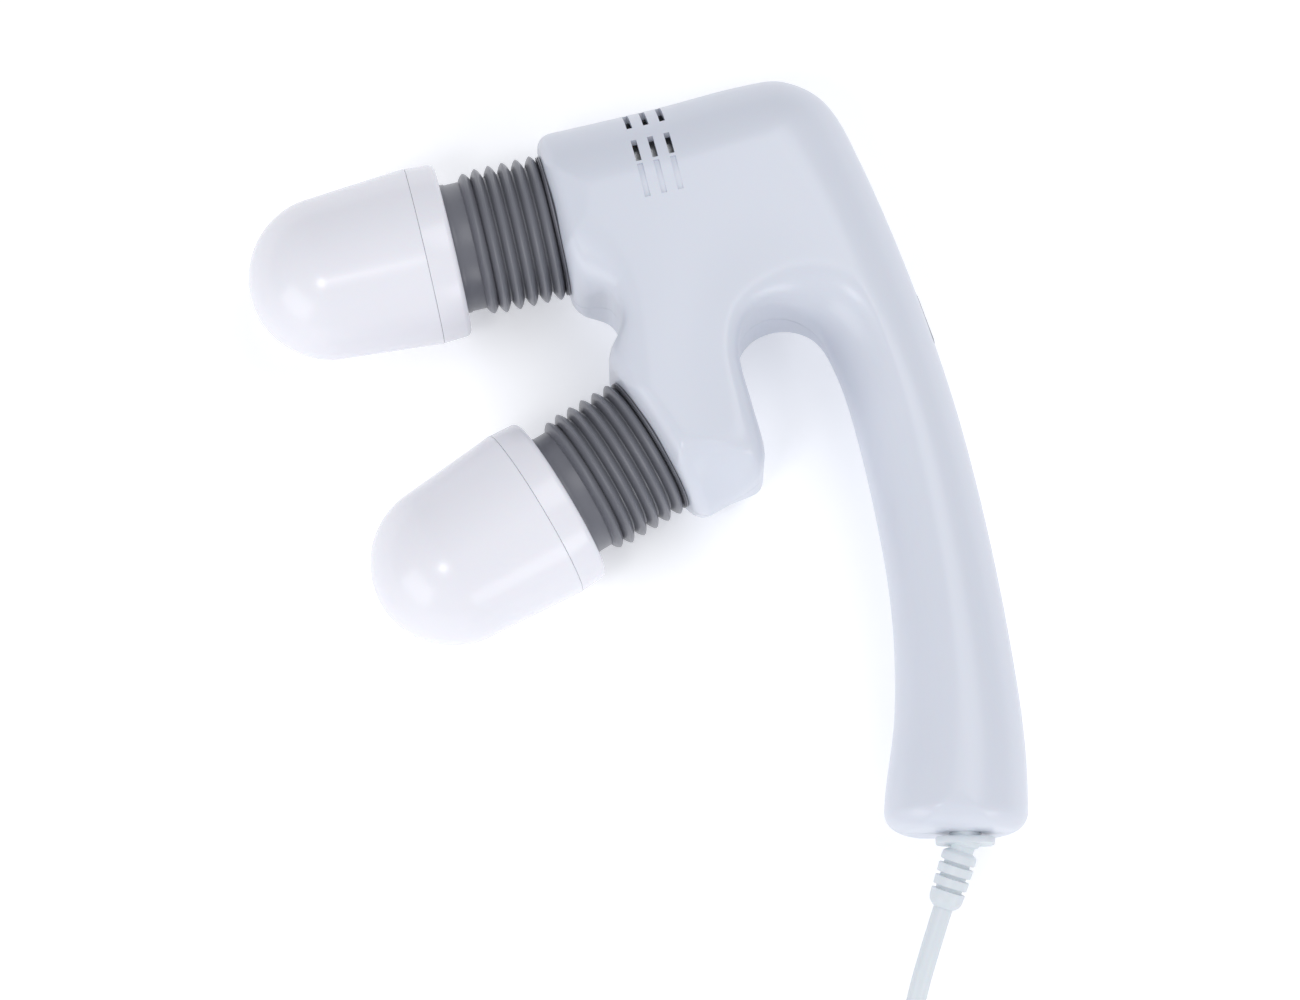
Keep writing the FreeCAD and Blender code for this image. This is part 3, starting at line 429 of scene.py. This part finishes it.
def bellows_profile():
    """Two-lipped seat flange, six pointed ridges and a plain cuff, then straight back down the bore."""
    line = [(FACE_X + 0.1, BORE_R), (FACE_X + 0.1, 23.6), (FACE_X + 0.3, 23.85), (FACE_X + 0.8, 23.85),
            (FACE_X + 0.95, 23.3), (FACE_X + 1.15, 23.3), (FACE_X + 1.3, 23.75), (FACE_X + 1.4, 22.2)]
    for at in RIDGE_X:
        crest = LAST_RIDGE_R if at == LAST_RIDGE_X else RIDGE_R
        foot = CUFF_R if at == LAST_RIDGE_X else VALLEY_R
        for step in range(-8, 9):
            part = math.sin(math.radians(11.25 * step))
            base = foot if part > 0 else VALLEY_R
            rise = (1.0 - abs(part) ** RIDGE_POINT) ** 0.8
            line.append((at + RIDGE_HALF * part, base + (crest - base) * rise))
    line += [(27.6, CUFF_R), (27.9, CUFF_R + 0.12), (32.4, CUFF_R + 0.12), (32.7, CUFF_R + 0.45),
             (33.9, CUFF_R + 0.45), (HEAD_X + 0.4, CUFF_R + 0.3), (HEAD_X + 0.4, BORE_R)]
    bore = [(HEAD_X - 2.0 * i, BORE_R) for i in range(1, 17)]
    return line + bore


def add_bellows(neck):
    boot = revolve(neck["name"] + "_bellows_boot", bellows_profile(), segments=144)
    place(boot, neck_matrix(neck))
    smooth_by_angle(boot, 50)
    paint(boot, "grey_rubber")
    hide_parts(neck["name"] + "_bellows")
    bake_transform(boot)


# ---------------------------------------------------------------- strain relief, cord and plug
CORD_R = 3.25
RELIEF_BASE = Vector((108.4, HANDLE_END_Y, MID_Z))
RELIEF_AIM = Vector((-0.302, -0.927, -0.222)).normalized()
RELIEF_LENGTH = 23.9        # leaning sleeve
RELIEF_ROOT = RELIEF_BASE + Vector((0, -1.6, 0))
RELIEF_TIP = RELIEF_ROOT + RELIEF_AIM * RELIEF_LENGTH

COIL_CENTRE = (42.0, -230.7)
COIL_MIDDLE_R = 35.75
LAYER_TURNS = 3.625
COIL_OUTER_R = COIL_MIDDLE_R + LAYER_TURNS * CORD_R
POINTS_PER_TURN = 36
LAYER_1_Z = 4.05
LAYER_2_Z = LAYER_1_Z + 2 * CORD_R
CLIMB = 45.0                # the cord climbs to the second layer over this many degrees each way
STUB = 27.0                 # straight cord beside the coil at each end
PLUG_HALF_HEIGHT = 8.5
PLUG_SEGMENTS = 64
CORD_ROUTE = [RELIEF_TIP, RELIEF_TIP + RELIEF_AIM * 18.0, (91.8, -169.6, 11.7),
              (COIL_CENTRE[0] + COIL_OUTER_R, COIL_CENTRE[1] + STUB + 18.0, LAYER_1_Z),
              (COIL_CENTRE[0] + COIL_OUTER_R, COIL_CENTRE[1] + STUB, LAYER_1_Z)]
TAIL_Y = COIL_CENTRE[1] - COIL_OUTER_R
TAIL_ROUTE = [(COIL_CENTRE[0] - STUB, TAIL_Y, LAYER_2_Z), (-3.0, TAIL_Y, LAYER_2_Z),
              (-20.5, TAIL_Y - 2.8, 9.0), (-36.0, TAIL_Y - 8.5, PLUG_HALF_HEIGHT),
              (-50.5, TAIL_Y - 16.5, PLUG_HALF_HEIGHT)]


def aimed(at, aim):
    """Matrix that puts a part built along +x at a point, in millimetres, looking along aim."""
    turn = Vector(aim).to_track_quat("X", "Z").to_matrix().to_4x4()
    return Matrix.Translation(Vector(at) * MM) @ turn


def relief_profile():
    """Leaning sleeve: a narrow neck, then a plain sleeve with three grooves."""
    line = [(-1.0, CORD_R), (-1.0, 5.4), (2.0, 5.2), (2.6, 4.1), (4.4, 3.95), (5.0, 4.9), (5.5, 5.6),
            (6.0, 5.8)]
    for i in range(3):
        start = 8.3 + 4.3 * i
        skin = 5.85 - 0.06 * i
        line += [(start - 0.15, skin), (start, skin - 0.2), (start + 0.05, 4.4), (start + 1.2, 4.4),
                 (start + 1.25, skin - 0.2), (start + 1.4, skin)]
    line += [(21.2, 5.55), (22.4, 5.1), (23.3, 4.3), (RELIEF_LENGTH, 3.6), (RELIEF_LENGTH, CORD_R)]
    return line


def add_relief():
    """Collar in the handle's end, a thin oval flange standing off it, and the leaning sleeve."""
    collar = revolve("relief_collar", [(-6.0, CORD_R), (-6.0, 5.1), (2.0, 5.1), (2.0, CORD_R)], segments=64)
    layers = []
    for x, grow in [(1.4, -0.5), (1.5, -0.15), (1.8, 0.0), (3.3, 0.0), (3.6, -0.15), (3.7, -0.5)]:
        layers.append([(x, y, z) for y, z in rounded_rectangle(9.75 + grow, 5.4 + grow, 4.2 + grow, 10)])
    flange = stacked("relief_flange", layers, closed=False)
    sleeve = revolve("relief_sleeve", relief_profile(), segments=96)
    place(collar, aimed(RELIEF_BASE, (0, -1, 0)))
    place(flange, aimed(RELIEF_BASE, (0, -1, 0)))
    place(sleeve, aimed(RELIEF_ROOT, RELIEF_AIM))
    for piece in (collar, flange, sleeve):
        smooth_by_angle(piece, 40)
        paint(piece, "cord_jacket")
        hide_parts("strain_relief")
        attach(piece, "root")


def coil_points():
    """Control points of the coil: inward in the lower layer, then outward in the upper one."""
    turn_angle = 360.0 * LAYER_TURNS
    count = round(2 * LAYER_TURNS * POINTS_PER_TURN)
    points = []
    for i in range(1, count):
        angle = 2 * turn_angle * i / count
        radius = COIL_OUTER_R - 2 * CORD_R * min(angle, 2 * turn_angle - angle) / 360.0
        climb = min(max((angle - turn_angle + CLIMB) / (2 * CLIMB), 0.0), 1.0)
        climb = climb * climb * (3 - 2 * climb)
        heading = math.radians(-angle)
        points.append((COIL_CENTRE[0] + radius * math.cos(heading),
                       COIL_CENTRE[1] + radius * math.sin(heading),
                       LAYER_1_Z + (LAYER_2_Z - LAYER_1_Z) * climb))
    return points


def add_cord():
    """One cord from the relief, through its coil, to the plug."""
    route = CORD_ROUTE + coil_points() + TAIL_ROUTE
    curve = bpy.data.curves.new("power_cord_run", "CURVE")
    curve.dimensions = "3D"
    spline = curve.splines.new("NURBS")
    spline.points.add(len(route) - 1)
    for point, at in zip(spline.points, route):
        point.co = (at[0] * MM, at[1] * MM, at[2] * MM, 1.0)
    spline.order_u = 3
    spline.use_endpoint_u = True
    spline.resolution_u = 6
    curve.bevel_depth = CORD_R * MM
    curve.bevel_resolution = 7
    curve.use_fill_caps = True
    cord = link(bpy.data.objects.new("power_cord_run", curve))
    paint(cord, "cord_jacket")
    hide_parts("power_cord", "cord_coil", "cord_tail")
    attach(cord, "root")
    return cord


def add_plug():
    """Moulded plug: ribbed sleeve, then a grip with rounded corners and a slight waist."""
    run = Vector(TAIL_ROUTE[-1]) - Vector(TAIL_ROUTE[-2])
    sleeve_line = [(-0.3, CORD_R - 0.3), (-0.3, 4.4), (0.2, 4.8)]
    for i in range(4):
        start = 1.6 + 3.2 * i
        sleeve_line += [(start, 5.0 + 0.35 * i), (start + 0.2, 4.3 + 0.35 * i), (start + 1.1, 4.3 + 0.35 * i),
                        (start + 1.3, 5.1 + 0.35 * i)]
    sleeve_line += [(17.5, 6.9), (17.5, CORD_R - 0.3)]
    plug = revolve("plug_grip", sleeve_line, segments=64)
    rings = []
    for x, half_wide, half_high in [(14.5, 6.5, 6.0), (15.5, 9.0, 7.2), (18.0, 11.2, 8.2), (22.0, 11.6, 8.3),
                                    (28.0, 11.2, 8.0), (33.0, 11.7, 8.3), (36.5, 12.0, 8.45),
                                    (37.7, 11.6, 8.1), (38.0, 10.8, 7.4)]:
        ring = []
        for i in range(PLUG_SEGMENTS):
            angle = 2 * math.pi * i / PLUG_SEGMENTS
            c = math.cos(angle)
            s = math.sin(angle)
            ring.append((x, half_wide * math.copysign(abs(c) ** 0.5, c),
                         half_high * math.copysign(abs(s) ** 0.5, s)))
        rings.append(ring)
    grip = stacked("plug_block", rings, closed=False)
    for piece in (plug, grip):
        place(piece, aimed(TAIL_ROUTE[-1], run))
        smooth_by_angle(piece, 40)
        paint(piece, "cord_jacket")
        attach(piece, "root")
        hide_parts("plug_body")
    return [plug, grip]


# ---------------------------------------------------------------- switch
SWITCH_AT = (96.2, 58.0, MID_Z)
SWITCH_HEADING = 19.5       # outward normal of the spine there, degrees


def switch_matrix():
    return Matrix.Translation(Vector(SWITCH_AT) * MM) @ Matrix.Rotation(math.radians(SWITCH_HEADING), 4, "Z")


def switch_window():
    """Cutter for the switch's window in the spine."""
    cutter = box_cutter("switch_window", (-9.0, -8.2, -5.2), (6.0, 8.2, 5.2))
    place(cutter, switch_matrix())
    return cutter


def rounded_rectangle(half_y, half_z, corner, steps=6):
    """Closed ring of (y, z) points."""
    ring = []
    for quarter, (sy, sz) in enumerate([(1, 1), (-1, 1), (-1, -1), (1, -1)]):
        for k in range(steps + 1):
            angle = math.radians(90 * quarter + 90 * k / steps)
            ring.append((sy * (half_y - corner) + corner * math.cos(angle),
                         sz * (half_z - corner) + corner * math.sin(angle)))
    return ring


def stacked(name, rings, closed):
    """Surface through rings of (x, y, z) points; closed joins the last ring to the first."""
    count = len(rings[0])
    verts = [point for ring in rings for point in ring]
    pairs = [(k, k + 1) for k in range(len(rings) - 1)]
    faces = []
    if closed:
        pairs.append((len(rings) - 1, 0))
    else:
        faces = [tuple(range(count - 1, -1, -1)), tuple(count * (len(rings) - 1) + i for i in range(count))]
    for one, two in pairs:
        for i in range(count):
            j = (i + 1) % count
            faces.append((count * one + i, count * one + j, count * two + j, count * two + i))
    made = mesh_object(name, verts, faces)
    outward(made)
    return made


def add_switch():
    """Thin bezel round the window, and a dished rocker with softened edges."""
    section = [(-0.8, 9.3, 6.1, 2.2), (0.35, 9.3, 6.1, 2.2), (0.8, 8.9, 5.7, 1.9), (0.85, 7.6, 4.6, 1.0),
               (0.5, 7.1, 4.15, 0.7), (-0.8, 7.1, 4.15, 0.7)]
    rings = [[(x, y, z) for y, z in rounded_rectangle(half_y, half_z, corner)]
             for x, half_y, half_z, corner in section]
    bezel = stacked("switch_bezel", rings, closed=True)
    side = [(-3.4, -5.9), (-0.2, -5.8), (0.5, -5.6), (0.75, -5.2), (0.5, -4.0), (0.0, -1.6), (-0.1, 0.0),
            (0.0, 1.6), (0.5, 4.0), (0.75, 5.2), (0.5, 5.6), (-0.2, 5.8), (-3.4, 5.9)]
    layers = []
    for z, shrink in [(-3.65, 0.35), (-3.45, 0.08), (-3.2, 0.0), (3.2, 0.0), (3.45, 0.08), (3.65, 0.35)]:
        layers.append([(x - shrink, y * (1 - shrink / 6), z) for x, y in side])
    rocker = stacked("switch_rocker_cap", layers, closed=False)
    for piece, body in ((bezel, "root"), (rocker, "rocker")):
        place(piece, switch_matrix())
        smooth_by_angle(piece, 35)
        paint(piece, "switch_plastic")
        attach(piece, body)
    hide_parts("switch_rocker")


# ---------------------------------------------------------------- housing
BARREL_BORDER = (30.5, 30.5, 30.5, 2.0)


def barrel_edge(neck, along, side):
    """Outline point on a barrel's straight side: along from its seat, side +1 or -1 of its axis."""
    heading = math.radians(neck["heading"])
    ahead = np.array([math.cos(heading), math.sin(heading)])
    aside = np.array([ahead[1], -ahead[0]]) * side * BARREL_R
    return (*(np.array(neck["seat"]) + along * ahead + aside), *BARREL_BORDER)


# Silhouette of the housing at mid thickness, clockwise, as smooth runs joined by straight lines.
# The barrels run past their faces and the handle past its end; both are cut off square later.
# Each point: x, y, width of the rounded border there, half thickness, height of that rounding, and
# how softly the border leaves the flat: 2 is an ellipse, nearer 1 is a crease.
BACK_RUN = [                            # top of the upper barrel, rear corner, spine
    barrel_edge(UPPER, 14.0, 1), barrel_edge(UPPER, -40.0, 1),
    (36.0, 138.5, 29.0, 30.2, 28.5, 2.0), (50.0, 139.5, 28.0, 30.0, 26.5, 2.0),
    (64.0, 132.0, 26.5, 29.2, 25.0, 2.0), (75.0, 113.0, 25.0, 28.1, 24.0, 2.0),
    (92.0, 72.0, 20.5, 25.2, 22.0, 2.0), (106.0, 31.0, 16.9, 21.6, 21.2, 2.0),
    (116.0, -9.0, 17.7, 20.0, 20.0, 2.0), (124.0, -51.5, 19.3, 20.1, 20.1, 2.0),
    (128.5, -87.0, 22.0, 21.1, 21.1, 2.0), (129.2, -126.0, 23.6, 21.5, 21.5, 2.0)]
GRIP_RUN = [                            # palm side of the handle, arch, outer side of the lower barrel
    (82.0, -126.0, 23.6, 21.5, 21.5, 2.0), (82.0, -105.0, 23.3, 21.5, 21.5, 2.0),
    (85.6, -74.0, 20.9, 20.7, 20.7, 2.0), (84.8, -40.0, 18.8, 20.0, 20.0, 2.0),
    (79.5, -6.0, 17.5, 20.2, 20.2, 2.0), (71.5, 28.0, 17.6, 22.0, 21.2, 2.0),
    (65.0, 46.0, 27.0, 25.3, 21.0, 1.7), (59.5, 54.5, 21.5, 27.6, 18.0, 1.5),
    (51.0, 59.0, 10.0, 29.0, 13.0, 1.5), (42.0, 58.2, 5.8, 29.6, 8.3, 1.7),
    (36.0, 52.5, 5.0, 29.8, 7.5, 1.9), (34.5, 42.0, 5.0, 29.9, 7.5, 2.0),
    (38.5, 26.0, 6.2, 30.1, 9.0, 2.0), (42.7, 11.0, 8.0, 30.3, 12.5, 2.0),
    (42.3, 4.6, 12.0, 30.4, 18.0, 2.0), (38.0, 0.3, 20.0, 30.5, 26.0, 2.0),
    barrel_edge(LOWER, -12.0, -1), barrel_edge(LOWER, 14.0, -1)]
CROTCH_RUN = [                          # inner side of the lower barrel, crotch, underside of the upper
    barrel_edge(LOWER, 14.0, 1), (-11.8, 41.4, 16.0, 30.5, 20.0, 2.0),
    (-6.3, 47.0, 6.5, 30.4, 9.0, 1.9), (-4.2, 54.0, 5.0, 30.2, 7.5, 1.8),
    (-7.6, 62.0, 6.5, 30.3, 9.0, 1.7), (-14.2, 63.1, 15.0, 30.4, 19.0, 1.8),
    barrel_edge(UPPER, 0.0, -1), barrel_edge(UPPER, 14.0, -1)]
OUTLINE = [BACK_RUN, GRIP_RUN, CROTCH_RUN]
STEP_LENGTH = 2.2                       # spacing of the dense line


def smooth_outline():
    """Dense closed line through the outline's points, with its four sizes carried along."""
    points = np.array([point for run in OUTLINE for point in run], float)
    count = len(points)
    run_ends = np.cumsum([len(run) for run in OUTLINE])
    sharp = set(run_ends - 1) | set(run_ends % count)
    dense = []
    for i in range(count):
        following = (i + 1) % count
        one = points[i]
        two = points[following]
        before = one if i in sharp else points[i - 1]
        after = two if following in sharp else points[(i + 2) % count]
        span = np.linalg.norm(two[:2] - one[:2])
        slope_one = (two - before) / max(np.linalg.norm(two[:2] - before[:2]), 1e-6) * span
        slope_two = (after - one) / max(np.linalg.norm(after[:2] - one[:2]), 1e-6) * span
        steps = math.ceil(span / STEP_LENGTH)
        for k in range(steps):
            t = k / steps
            dense.append((2 * t**3 - 3 * t**2 + 1) * one + (t**3 - 2 * t**2 + t) * slope_one
                         + (3 * t**2 - 2 * t**3) * two + (t**3 - t**2) * slope_two)
    line = np.array(dense)
    line[:, 2:5] = np.minimum(line[:, 2:5], BARREL_R)
    return line


PLAN_BATCH = 20000          # points taken at a time, to keep memory small
SIZE_REACH = 3.0            # the border's sizes blend between outline points over about this distance
SIZE_FALLOFF = 4.0
PROBE = 0.05                # spacing used for the field's slope
LEAST_SLOPE_SQ = 0.15
LONGEST_MOVE = 0.6
FIELD_CAP = 4.0
FIELD_LOW = np.array([-46.0, -121.0, -34.0])
FIELD_HIGH = np.array([136.0, 146.0, 34.0])


class HousingShape:
    """Body of the housing as a field: negative inside, about millimetres from the surface."""

    def __init__(self):
        self.line = smooth_outline()
        ahead = np.roll(self.line, -1, axis=0)
        self.start = self.line[:, :2]
        self.step = ahead[:, :2] - self.start
        self.step_sq = np.maximum((self.step ** 2).sum(1), 1e-9)
        self.weight = np.sqrt(self.step_sq)

    def plan(self, x, y):
        """Depth inside the silhouette, and the four sizes of the rounded border."""
        depth = np.empty(x.shape)
        sizes = np.empty(x.shape + (4,))
        for low in range(0, len(x), PLAN_BATCH):
            part = slice(low, low + PLAN_BATCH)
            px = x[part, None] - self.start[None, :, 0]
            py = y[part, None] - self.start[None, :, 1]
            t = (px * self.step[:, 0] + py * self.step[:, 1]) / self.step_sq
            t = np.clip(t, 0.0, 1.0)
            away = np.hypot(px - t * self.step[:, 0], py - t * self.step[:, 1])
            near = away.min(1)
            above = self.start[:, 1] > y[part, None]
            above_next = np.roll(above, -1, axis=1)
            crossing_x = self.start[:, 0] + (y[part, None] - self.start[:, 1]) * self.step[:, 0] \
                / np.where(np.abs(self.step[:, 1]) < 1e-9, 1e-9, self.step[:, 1])
            inside = ((above != above_next) & (x[part, None] < crossing_x)).sum(1) % 2 == 1
            depth[part] = np.where(inside, near, -near)
            pull = self.weight / (away + SIZE_REACH) ** SIZE_FALLOFF
            sizes[part] = (pull @ self.line[:, 2:]) / pull.sum(1)[:, None]
        return depth, sizes

    def field(self, x, y, z):
        """x, y, z are flat arrays; z is from mid thickness."""
        return self.from_plan(x, y, z, *self.plan(x, y))

    def from_plan(self, x, y, z, depth, sizes):
        width, half, rise, power = np.moveaxis(sizes, -1, 0)
        across = np.maximum(width - depth, 0.0) / width
        up = np.maximum(np.abs(z) - (half - rise), 0.0) / rise
        value = (np.sqrt(across ** power + up ** 2) - 1.0) * np.minimum(width, rise)
        for neck in NECKS:
            beyond, aside = self.neck_coordinates(neck, x, y)
            near_neck = (np.abs(aside) < 40.0) & (beyond > -45.0)
            value = np.where(near_neck, round_meet(value, beyond - FACE_X, FACE_EDGE_R), value)
        return round_meet(value, HANDLE_END_Y - y, HANDLE_END_R)

    @staticmethod
    def neck_coordinates(neck, x, y):
        heading = math.radians(neck["heading"])
        dx = x - neck["seat"][0]
        dy = y - neck["seat"][1]
        along = dx * math.cos(heading) + dy * math.sin(heading)
        aside = dy * math.cos(heading) - dx * math.sin(heading)
        return along, aside

    def settle(self, points, inset, rounds=2):
        """Moves points onto the surface along the field's slope."""
        for _ in range(rounds):
            x, y, z = points.T
            here = self.plan(x, y)
            value = self.from_plan(x, y, z, *here)
            slope = np.stack([self.field(x + PROBE, y, z) - value,
                              self.field(x, y + PROBE, z) - value,
                              self.from_plan(x, y, z + PROBE, *here) - value], 1) / PROBE
            size = np.maximum((slope ** 2).sum(1), LEAST_SLOPE_SQ)
            move = -slope * ((value + inset) / size)[:, None]
            reach = np.linalg.norm(move, axis=1)
            move *= np.minimum(1.0, LONGEST_MOVE / np.maximum(reach, 1e-9))[:, None]
            points = points + move
        return points

    def solid(self, name, inset, voxel, settled):
        """Closed mesh of the surface that lies inset inside the housing's skin."""
        count = np.ceil((FIELD_HIGH - FIELD_LOW) / voxel).astype(int)
        count[2] += 1 - count[2] % 2
        x = FIELD_LOW[0] + voxel * np.arange(count[0])
        y = FIELD_LOW[1] + voxel * np.arange(count[1])
        z = voxel * (np.arange(count[2]) - (count[2] - 1) / 2)
        flat_x, flat_y = [side.ravel() for side in np.meshgrid(x, y, indexing="ij")]
        depth, sizes = self.plan(flat_x, flat_y)
        block = np.empty((count[0], count[1], count[2]), np.float32)
        for k, level in enumerate(z):
            value = self.from_plan(flat_x, flat_y, level, depth, sizes) + inset
            block[:, :, k] = np.clip(value, -FIELD_CAP, FIELD_CAP).reshape(count[0], count[1])
        grid = openvdb.FloatGrid(background=FIELD_CAP)
        grid.copyFromArray(block)
        points, quads = grid.convertToQuads(isovalue=0.0)
        points = points.astype(float) * voxel + np.array([x[0], y[0], z[0]])
        if settled:
            points = self.settle(points, inset)
        points[:, 2] += MID_Z
        made = array_object(name, points, quads)
        outward(made)
        return made


def round_meet(one, two, radius):
    """Overlap of two fields with their edge rounded."""
    over_one = np.maximum(one + radius, 0.0)
    over_two = np.maximum(two + radius, 0.0)
    return np.minimum(np.maximum(one, two), -radius) + np.hypot(over_one, over_two)


VENT_COLUMNS = [31.6, 37.2, 42.8]   # columns of slots, back from the upper bellows seat
VENT_HALF_WIDTH = 0.95
VENT_ROWS = [(10.0, 47.0), (59.5, 76.0)]    # open slots, degrees round the barrel from its outer edge
BLIND_ROW = (78.0, 100.0)           # shallow grooves that carry the pattern on
BLIND_DEPTH = 0.65
MOUTH_R = 19.0                      # opening behind each bellows
RELIEF_BORE_R = 5.2
BOSS_R = 5.0
WELL_R = 3.2
SCREW_BORE_R = 1.7
FAR = 400.0                         # well past the housing, for cutters
# screws: x, y, height of the head's seat above the table
SCREWS = [(-20.7, 114.5, 14.0), (78.0, 79.0, 12.0), (29.0, 6.6, 14.0), (0.6, 37.6, 14.0),
          (88.0, 38.0, 17.0), (111.5, -62.0, 17.0), (50.0, 70.0, 12.0)]


def ring_sector(column, low, high, inner_r, outer_r):
    """Points and faces of a slot cutter, curved about the upper barrel's axis."""
    steps = 10
    verts = []
    for k in range(steps + 1):
        angle = math.radians(low + (high - low) * k / steps)
        for x, r in [(column - VENT_HALF_WIDTH, inner_r), (column + VENT_HALF_WIDTH, inner_r),
                     (column + VENT_HALF_WIDTH, outer_r), (column - VENT_HALF_WIDTH, outer_r)]:
            verts.append((x, r * math.cos(angle), r * math.sin(angle)))
    faces = [(0, 1, 2, 3), (4 * steps + 3, 4 * steps + 2, 4 * steps + 1, 4 * steps)]
    for k in range(steps):
        for i in range(4):
            j = (i + 1) % 4
            faces.append((4 * k + i, 4 * k + 4 + i, 4 * k + 4 + j, 4 * k + j))
    return verts, faces


def vent_cutter():
    """All the cooling slots and blind grooves, on both sides of the parting plane."""
    verts = []
    faces = []
    for column in VENT_COLUMNS:
        for side in (1.0, -1.0):
            for low, high in VENT_ROWS + [BLIND_ROW]:
                inner_r = BARREL_R - BLIND_DEPTH if (low, high) == BLIND_ROW else BARREL_R - WALL - 2.5
                new_verts, new_faces = ring_sector(column, low, high, inner_r, BARREL_R + 4)
                faces += [tuple(index + len(verts) for index in face) for face in new_faces]
                verts += [(x, y, side * z) for x, y, z in new_verts]
    cutter = mesh_object("vent_cutter", verts, faces, smooth=False)
    place(cutter, neck_matrix(UPPER) @ Matrix.Rotation(math.pi, 4, "Z"))
    outward(cutter)
    return cutter


def post(x, y, low, high, radius, segments=48):
    """Points and faces of a cylinder along z."""
    verts = []
    for z in (low, high):
        for i in range(segments):
            angle = 2 * math.pi * i / segments
            verts.append((x + radius * math.cos(angle), y + radius * math.sin(angle), z))
    faces = [tuple(range(segments - 1, -1, -1)), tuple(range(segments, 2 * segments))]
    faces += [(i, (i + 1) % segments, segments + (i + 1) % segments, segments + i) for i in range(segments)]
    return verts, faces


def posts(name, sizes):
    """One object of several cylinders along z, from (x, y, low, high, radius)."""
    verts = []
    faces = []
    for size in sizes:
        new_verts, new_faces = post(*size)
        faces += [tuple(index + len(verts) for index in face) for face in new_faces]
        verts += new_verts
    return mesh_object(name, verts, faces, smooth=False)


def box_cutter(name, low, high):
    corners = [(x, y, z) for z in (low[2], high[2]) for y in (low[1], high[1]) for x in (low[0], high[0])]
    faces = [(0, 2, 3, 1), (4, 5, 7, 6), (0, 1, 5, 4), (2, 6, 7, 3), (0, 4, 6, 2), (1, 3, 7, 5)]
    return mesh_object(name, corners, faces, smooth=False)


def copy_of(obj, name):
    made = obj.copy()
    made.data = obj.data.copy()
    made.name = name
    return link(made)


def add_housing():
    """Both halves of the housing: smooth skin, hollow inside, with slots, screw wells and openings cut."""
    shape = HousingShape()
    skin = shape.solid("housing_skin", 0.0, VOXEL, settled=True)
    shell = copy_of(skin, "housing_shell")
    boolean(shell, shape.solid("housing_cavity", WALL, INNER_VOXEL, settled=False), "DIFFERENCE")
    for neck in NECKS:
        mouth = revolve("mouth", [(-14.0, 0.0), (-14.0, MOUTH_R), (2.0, MOUTH_R), (2.0, 0.0)],
                        segments=96, closed=False)
        place(mouth, neck_matrix(neck))
        boolean(shell, mouth, "DIFFERENCE")
    relief = revolve("relief_bore", [(-20.0, 0.0), (-20.0, RELIEF_BORE_R), (4.0, RELIEF_BORE_R), (4.0, 0.0)],
                     segments=64, closed=False)
    place(relief, aimed(RELIEF_BASE, (0, -1, 0)))
    boolean(shell, relief, "DIFFERENCE")
    groove = box_cutter("groove", (-FAR, -FAR, MID_Z - GROOVE_HALF), (FAR, FAR, MID_Z + GROOVE_HALF))
    boolean(groove, shape.solid("groove_floor", GROOVE_DEPTH, INNER_VOXEL, settled=False), "DIFFERENCE")
    boolean(shell, groove, "DIFFERENCE")
    boolean(shell, vent_cutter(), "DIFFERENCE")
    boolean(shell, switch_window(), "DIFFERENCE")

    front = copy_of(shell, "housing_front_shell")
    boolean(front, box_cutter("above", (-FAR, -FAR, MID_Z), (FAR, FAR, 2 * FAR)), "INTERSECT")
    bosses = posts("bosses", [(x, y, 1.0, MID_Z, BOSS_R) for x, y, _ in SCREWS])
    boolean(bosses, skin, "INTERSECT")
    back = shell
    back.name = "housing_back_shell"
    boolean(back, box_cutter("below", (-FAR, -FAR, -FAR), (FAR, FAR, MID_Z)), "INTERSECT")
    boolean(back, bosses, "UNION")
    boolean(back, posts("wells", [(x, y, -5.0, seat, WELL_R) for x, y, seat in SCREWS]), "DIFFERENCE")
    bores = posts("bores", [(x, y, seat - 1.0, 40.0, SCREW_BORE_R) for x, y, seat in SCREWS])
    boolean(back, bores, "DIFFERENCE")
    for half, node in ((front, "housing_front"), (back, "housing_back")):
        smooth_by_angle(half, 32)
        paint(half, "white_shell")
        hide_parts(node)
        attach(half, "root")


# ---------------------------------------------------------------- build
add_camera()
add_light()
add_stage()
finish_carried_nodes()
for each in NECKS:
    add_head(each)
    add_bellows(each)
add_housing()
add_relief()
add_switch()
power_cord = add_cord()
plug_pieces = add_plug()
